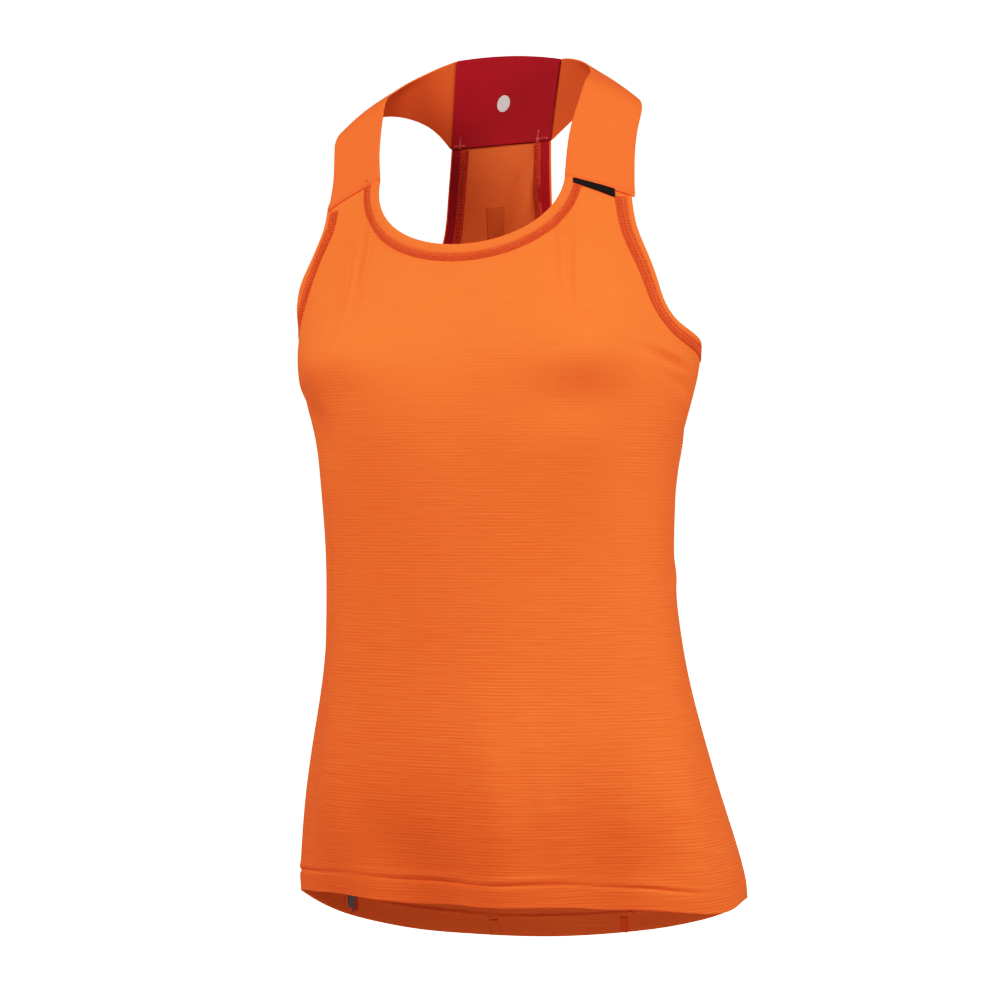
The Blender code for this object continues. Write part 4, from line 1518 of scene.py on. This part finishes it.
def put_camera(scene):
    """The camera, level and a little to the wearer's left."""
    camera = bpy.data.cameras.new("photo_camera")
    camera.lens = CAMERA_LENS
    camera.sensor_width = CAMERA_SENSOR
    camera.shift_x, camera.shift_y = CAMERA_SHIFT
    holder = bpy.data.objects.new("photo_camera", camera)
    turn = np.radians(CAMERA_AZIMUTH)
    holder.location = (CAMERA_DISTANCE * np.sin(turn), -CAMERA_DISTANCE * np.cos(turn),
                       CAMERA_HEIGHT)
    holder.rotation_euler = (np.pi / 2, 0, turn)
    scene.collection.objects.link(holder)
    scene.camera = holder


def set_film_curve(scene):
    """The film's response to light, as a curve over the standard view."""
    view = scene.view_settings
    view.view_transform = "Standard"
    view.look = "None"
    view.use_curve_mapping = True
    for light_in, light_out in FILM_CURVE:
        view.curve_mapping.curves[3].points.new(light_in, light_out)
    view.curve_mapping.update()


# ---------------------------------------------------------------- operators

class RUNNINGTOP_OT_panels(bpy.types.Operator):
    """Build the front and the back with their creases and turned-up hems"""

    bl_idname = "running_top.panels"
    bl_label = "Front and back"

    def execute(self, context):
        for name, plan in (("front_panel", front_plan()), ("back_panel", back_plan())):
            grid, normals = surface(*plan)
            outer, inner = hem_relief(*plan)
            piece = put_wall(f"{name}_cloth", grid, normals, WALL / 2 + outer,
                             inner - WALL / 2, orange_knit(), level_places(grid),
                             (0.55, 0.1, 0.2, 0.1), reverse=panel_reverse_painted_shade())
            finish_piece(name)
        return {"FINISHED"}


class RUNNINGTOP_OT_straps(bpy.types.Operator):
    """Build the two straps with their folded lower edges, and the yoke between them"""

    bl_idname = "running_top.straps"
    bl_label = "Straps and yoke"

    def execute(self, context):
        yoke, straps = yoke_and_straps()
        for name, side in (("strap_left", 1), ("strap_right", -1)):
            grid = straps[side]
            normals = grid_normals(grid)
            walked = run_lengths(grid[:, STRAP_COLUMNS // 2])[:, None]
            fold = LAP_RISE * (1 - smooth_step((walked - LAP_WIDTH) / 1.6))
            piece = put_wall(f"{name}_cloth", grid, normals, WALL / 2 + fold, -WALL / 2,
                             strap_knit_painted_shade(), cloth_places(grid), (LAP_ROUNDING, 0.7, 0.1, 0.7),
                             reverse=strap_reverse_painted_shade())
            finish_piece(name)
            points = grid[1] + normals[1] * (WALL / 2 + LAP_RISE)
            row = put_row(f"{name}_seam_stitches", (points, normals[1]), spun_orange())
        normals = grid_normals(yoke)
        piece = put_wall("back_yoke_cloth", yoke, normals, WALL / 2, -WALL / 2, orange_knit(),
                         cloth_places(yoke), (0.1, 0.3, 0.55, 0.3))
        finish_piece("back_yoke")
        return {"FINISHED"}


class RUNNINGTOP_OT_facings(bpy.types.Operator):
    """Build the red facing of the yoke and the red tapes inside the racer back"""

    bl_idname = "running_top.facings"
    bl_label = "Red facings"

    def execute(self, context):
        yoke, _ = yoke_and_straps()
        share = np.linspace(0, 1, len(yoke))[:, None]
        inner = -(WALL / 2 + SEAM_GAP + TRIM_WALL) - 0.5 * hump(share, 0.06)
        piece = put_wall("yoke_facing_cloth", yoke, grid_normals(yoke), -(WALL / 2 + SEAM_GAP), inner,
                         red_facing(), cloth_places(yoke), (0.4, 0.3, 0.5, 0.3))
        finish_piece("yoke_facing")
        for name, side in (("racer_facing_left", 1), ("racer_facing_right", -1)):
            edge = armhole_edge("back", side, TAPE_STEP)
            tape = put_bar(f"{name}_tape", edge, rounded_bar(0.6, TAPE_WIDTH, 0.1, 1.0, 0.35),
                           red_facing(), -1)
            finish_piece(name)
            low, high = (TAPE_WIDTH - inset for inset in TAPE_STITCH_BAND)
            for piece in put_cover_stitch(f"{name}_stitching", edge, low, high, -1,
                                          inner_thread(), rise=0.9):
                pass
        return {"FINISHED"}


class RUNNINGTOP_OT_bindings(bpy.types.Operator):
    """Fold smooth bands over the neck and armhole edges of the front"""

    bl_idname = "running_top.bindings"
    bl_label = "Edge bands"

    def execute(self, context):
        neck_band = sizes().neck_band / METRES
        arm_band = sizes().arm_band / METRES
        bands = [("neck_binding", neck_edge(BAND_STEP), neck_band)]
        bands += [(f"armhole_binding_{word}", armhole_edge("front", side, BAND_STEP), arm_band)
                  for word, side in SIDES]
        for name, edge, width in bands:
            piece = put_bar(f"{name}_band", edge, folded_edge(-BAND_PAST, width, BAND_BOTTOM, BAND_TOP),
                            orange_binding(), 0)
            finish_piece(name)
        for word, side in SIDES:
            piece = put_bar(f"back_armhole_edge_{word}", armhole_edge("back", side, BAND_STEP),
                            folded_edge(-BAND_PAST, arm_band, BACK_BAND_BOTTOM, BACK_BAND_TOP),
                            orange_binding(), 0)
        return {"FINISHED"}


class RUNNINGTOP_OT_stitching(bpy.types.Operator):
    """Sew the cover-stitched bands, the hem, the side seams and the back's shaping seams"""

    bl_idname = "running_top.stitching"
    bl_label = "Stitching"

    def execute(self, context):
        bands = [("neck_stitching", neck_edge(STITCH_STEP), sizes().neck_band / METRES,
                  sizes().neck_stitch_band / METRES)]
        for panel in ("front", "back"):
            bands += [(f"{panel}_armhole_stitching_{word}",
                       armhole_edge(panel, side, STITCH_STEP),
                       sizes().arm_band / METRES, sizes().arm_stitch_band / METRES)
                      for word, side in SIDES]
        for name, edge, start, width in bands:
            for piece in put_cover_stitch(name, edge, start - 0.2, start + width, 1,
                                          outer_thread()):
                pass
        plain = []
        for name, plan in (("front", front_plan()), ("back", back_plan())):
            plain += put_hem_stitches(name, plan)
        for panel in ("front", "back"):
            for word, side in SIDES:
                plain += put_side_seam(panel, word, side)
        for word, way in (("left", -1), ("right", 1)):
            plain += put_back_seam(word, way)
        return {"FINISHED"}


class RUNNINGTOP_OT_labels(bpy.types.Operator):
    """Add the folded label, the side-seam tab, the plain print and the bar tacks"""

    bl_idname = "running_top.labels"
    bl_label = "Label, tab and tacks"

    def execute(self, context):
        yoke, _ = yoke_and_straps()
        put_label()
        put_tab()
        put_print(yoke)
        put_tacks(yoke)
        put_racer_patches()
        return {"FINISHED"}


class RUNNINGTOP_OT_stage(bpy.types.Operator):
    """Set the plain floor, the soft studio light and the camera"""

    bl_idname = "running_top.stage"
    bl_label = "Studio"

    def execute(self, context):
        put_floor(context.scene)
        set_air(context.scene)
        put_lights(context.scene)
        put_camera(context.scene)
        set_film_curve(context.scene)
        return {"FINISHED"}


class RUNNINGTOP_PT_panel(bpy.types.Panel):
    """The garment's sizes, colours and building steps in the 3D view's sidebar"""

    bl_idname = "RUNNINGTOP_PT_panel"
    bl_label = "Running top"
    bl_space_type = "VIEW_3D"
    bl_region_type = "UI"
    bl_category = "Running Top"

    def draw(self, context):
        layout = self.layout
        for group in (context.scene.running_top_sizes, context.scene.running_top_colours):
            for name in group.bl_rna.properties.keys():
                if name not in ("rna_type", "name"):
                    layout.prop(group, name)
        for step in STEPS:
            layout.operator(step.bl_idname)


STEPS = (RUNNINGTOP_OT_panels, RUNNINGTOP_OT_straps, RUNNINGTOP_OT_facings,
         RUNNINGTOP_OT_bindings, RUNNINGTOP_OT_stitching, RUNNINGTOP_OT_labels,
         RUNNINGTOP_OT_stage)
CLASSES = (RunningTopSizes, RunningTopColours, *STEPS, RUNNINGTOP_PT_panel)


def register():
    """Adds the classes and the scene's settings."""
    for kind in CLASSES:
        bpy.utils.register_class(kind)
    bpy.types.Scene.running_top_sizes = bpy.props.PointerProperty(type=RunningTopSizes)
    bpy.types.Scene.running_top_colours = bpy.props.PointerProperty(type=RunningTopColours)


def unregister():
    """Takes the settings and the classes away again."""
    del bpy.types.Scene.running_top_colours
    del bpy.types.Scene.running_top_sizes
    for kind in reversed(CLASSES):
        bpy.utils.unregister_class(kind)


def main():
    """Builds every piece in order."""
    register()
    for step in STEPS:
        group, name = step.bl_idname.split(".")
        getattr(getattr(bpy.ops, group), name)()


if __name__ == "__main__":
    main()
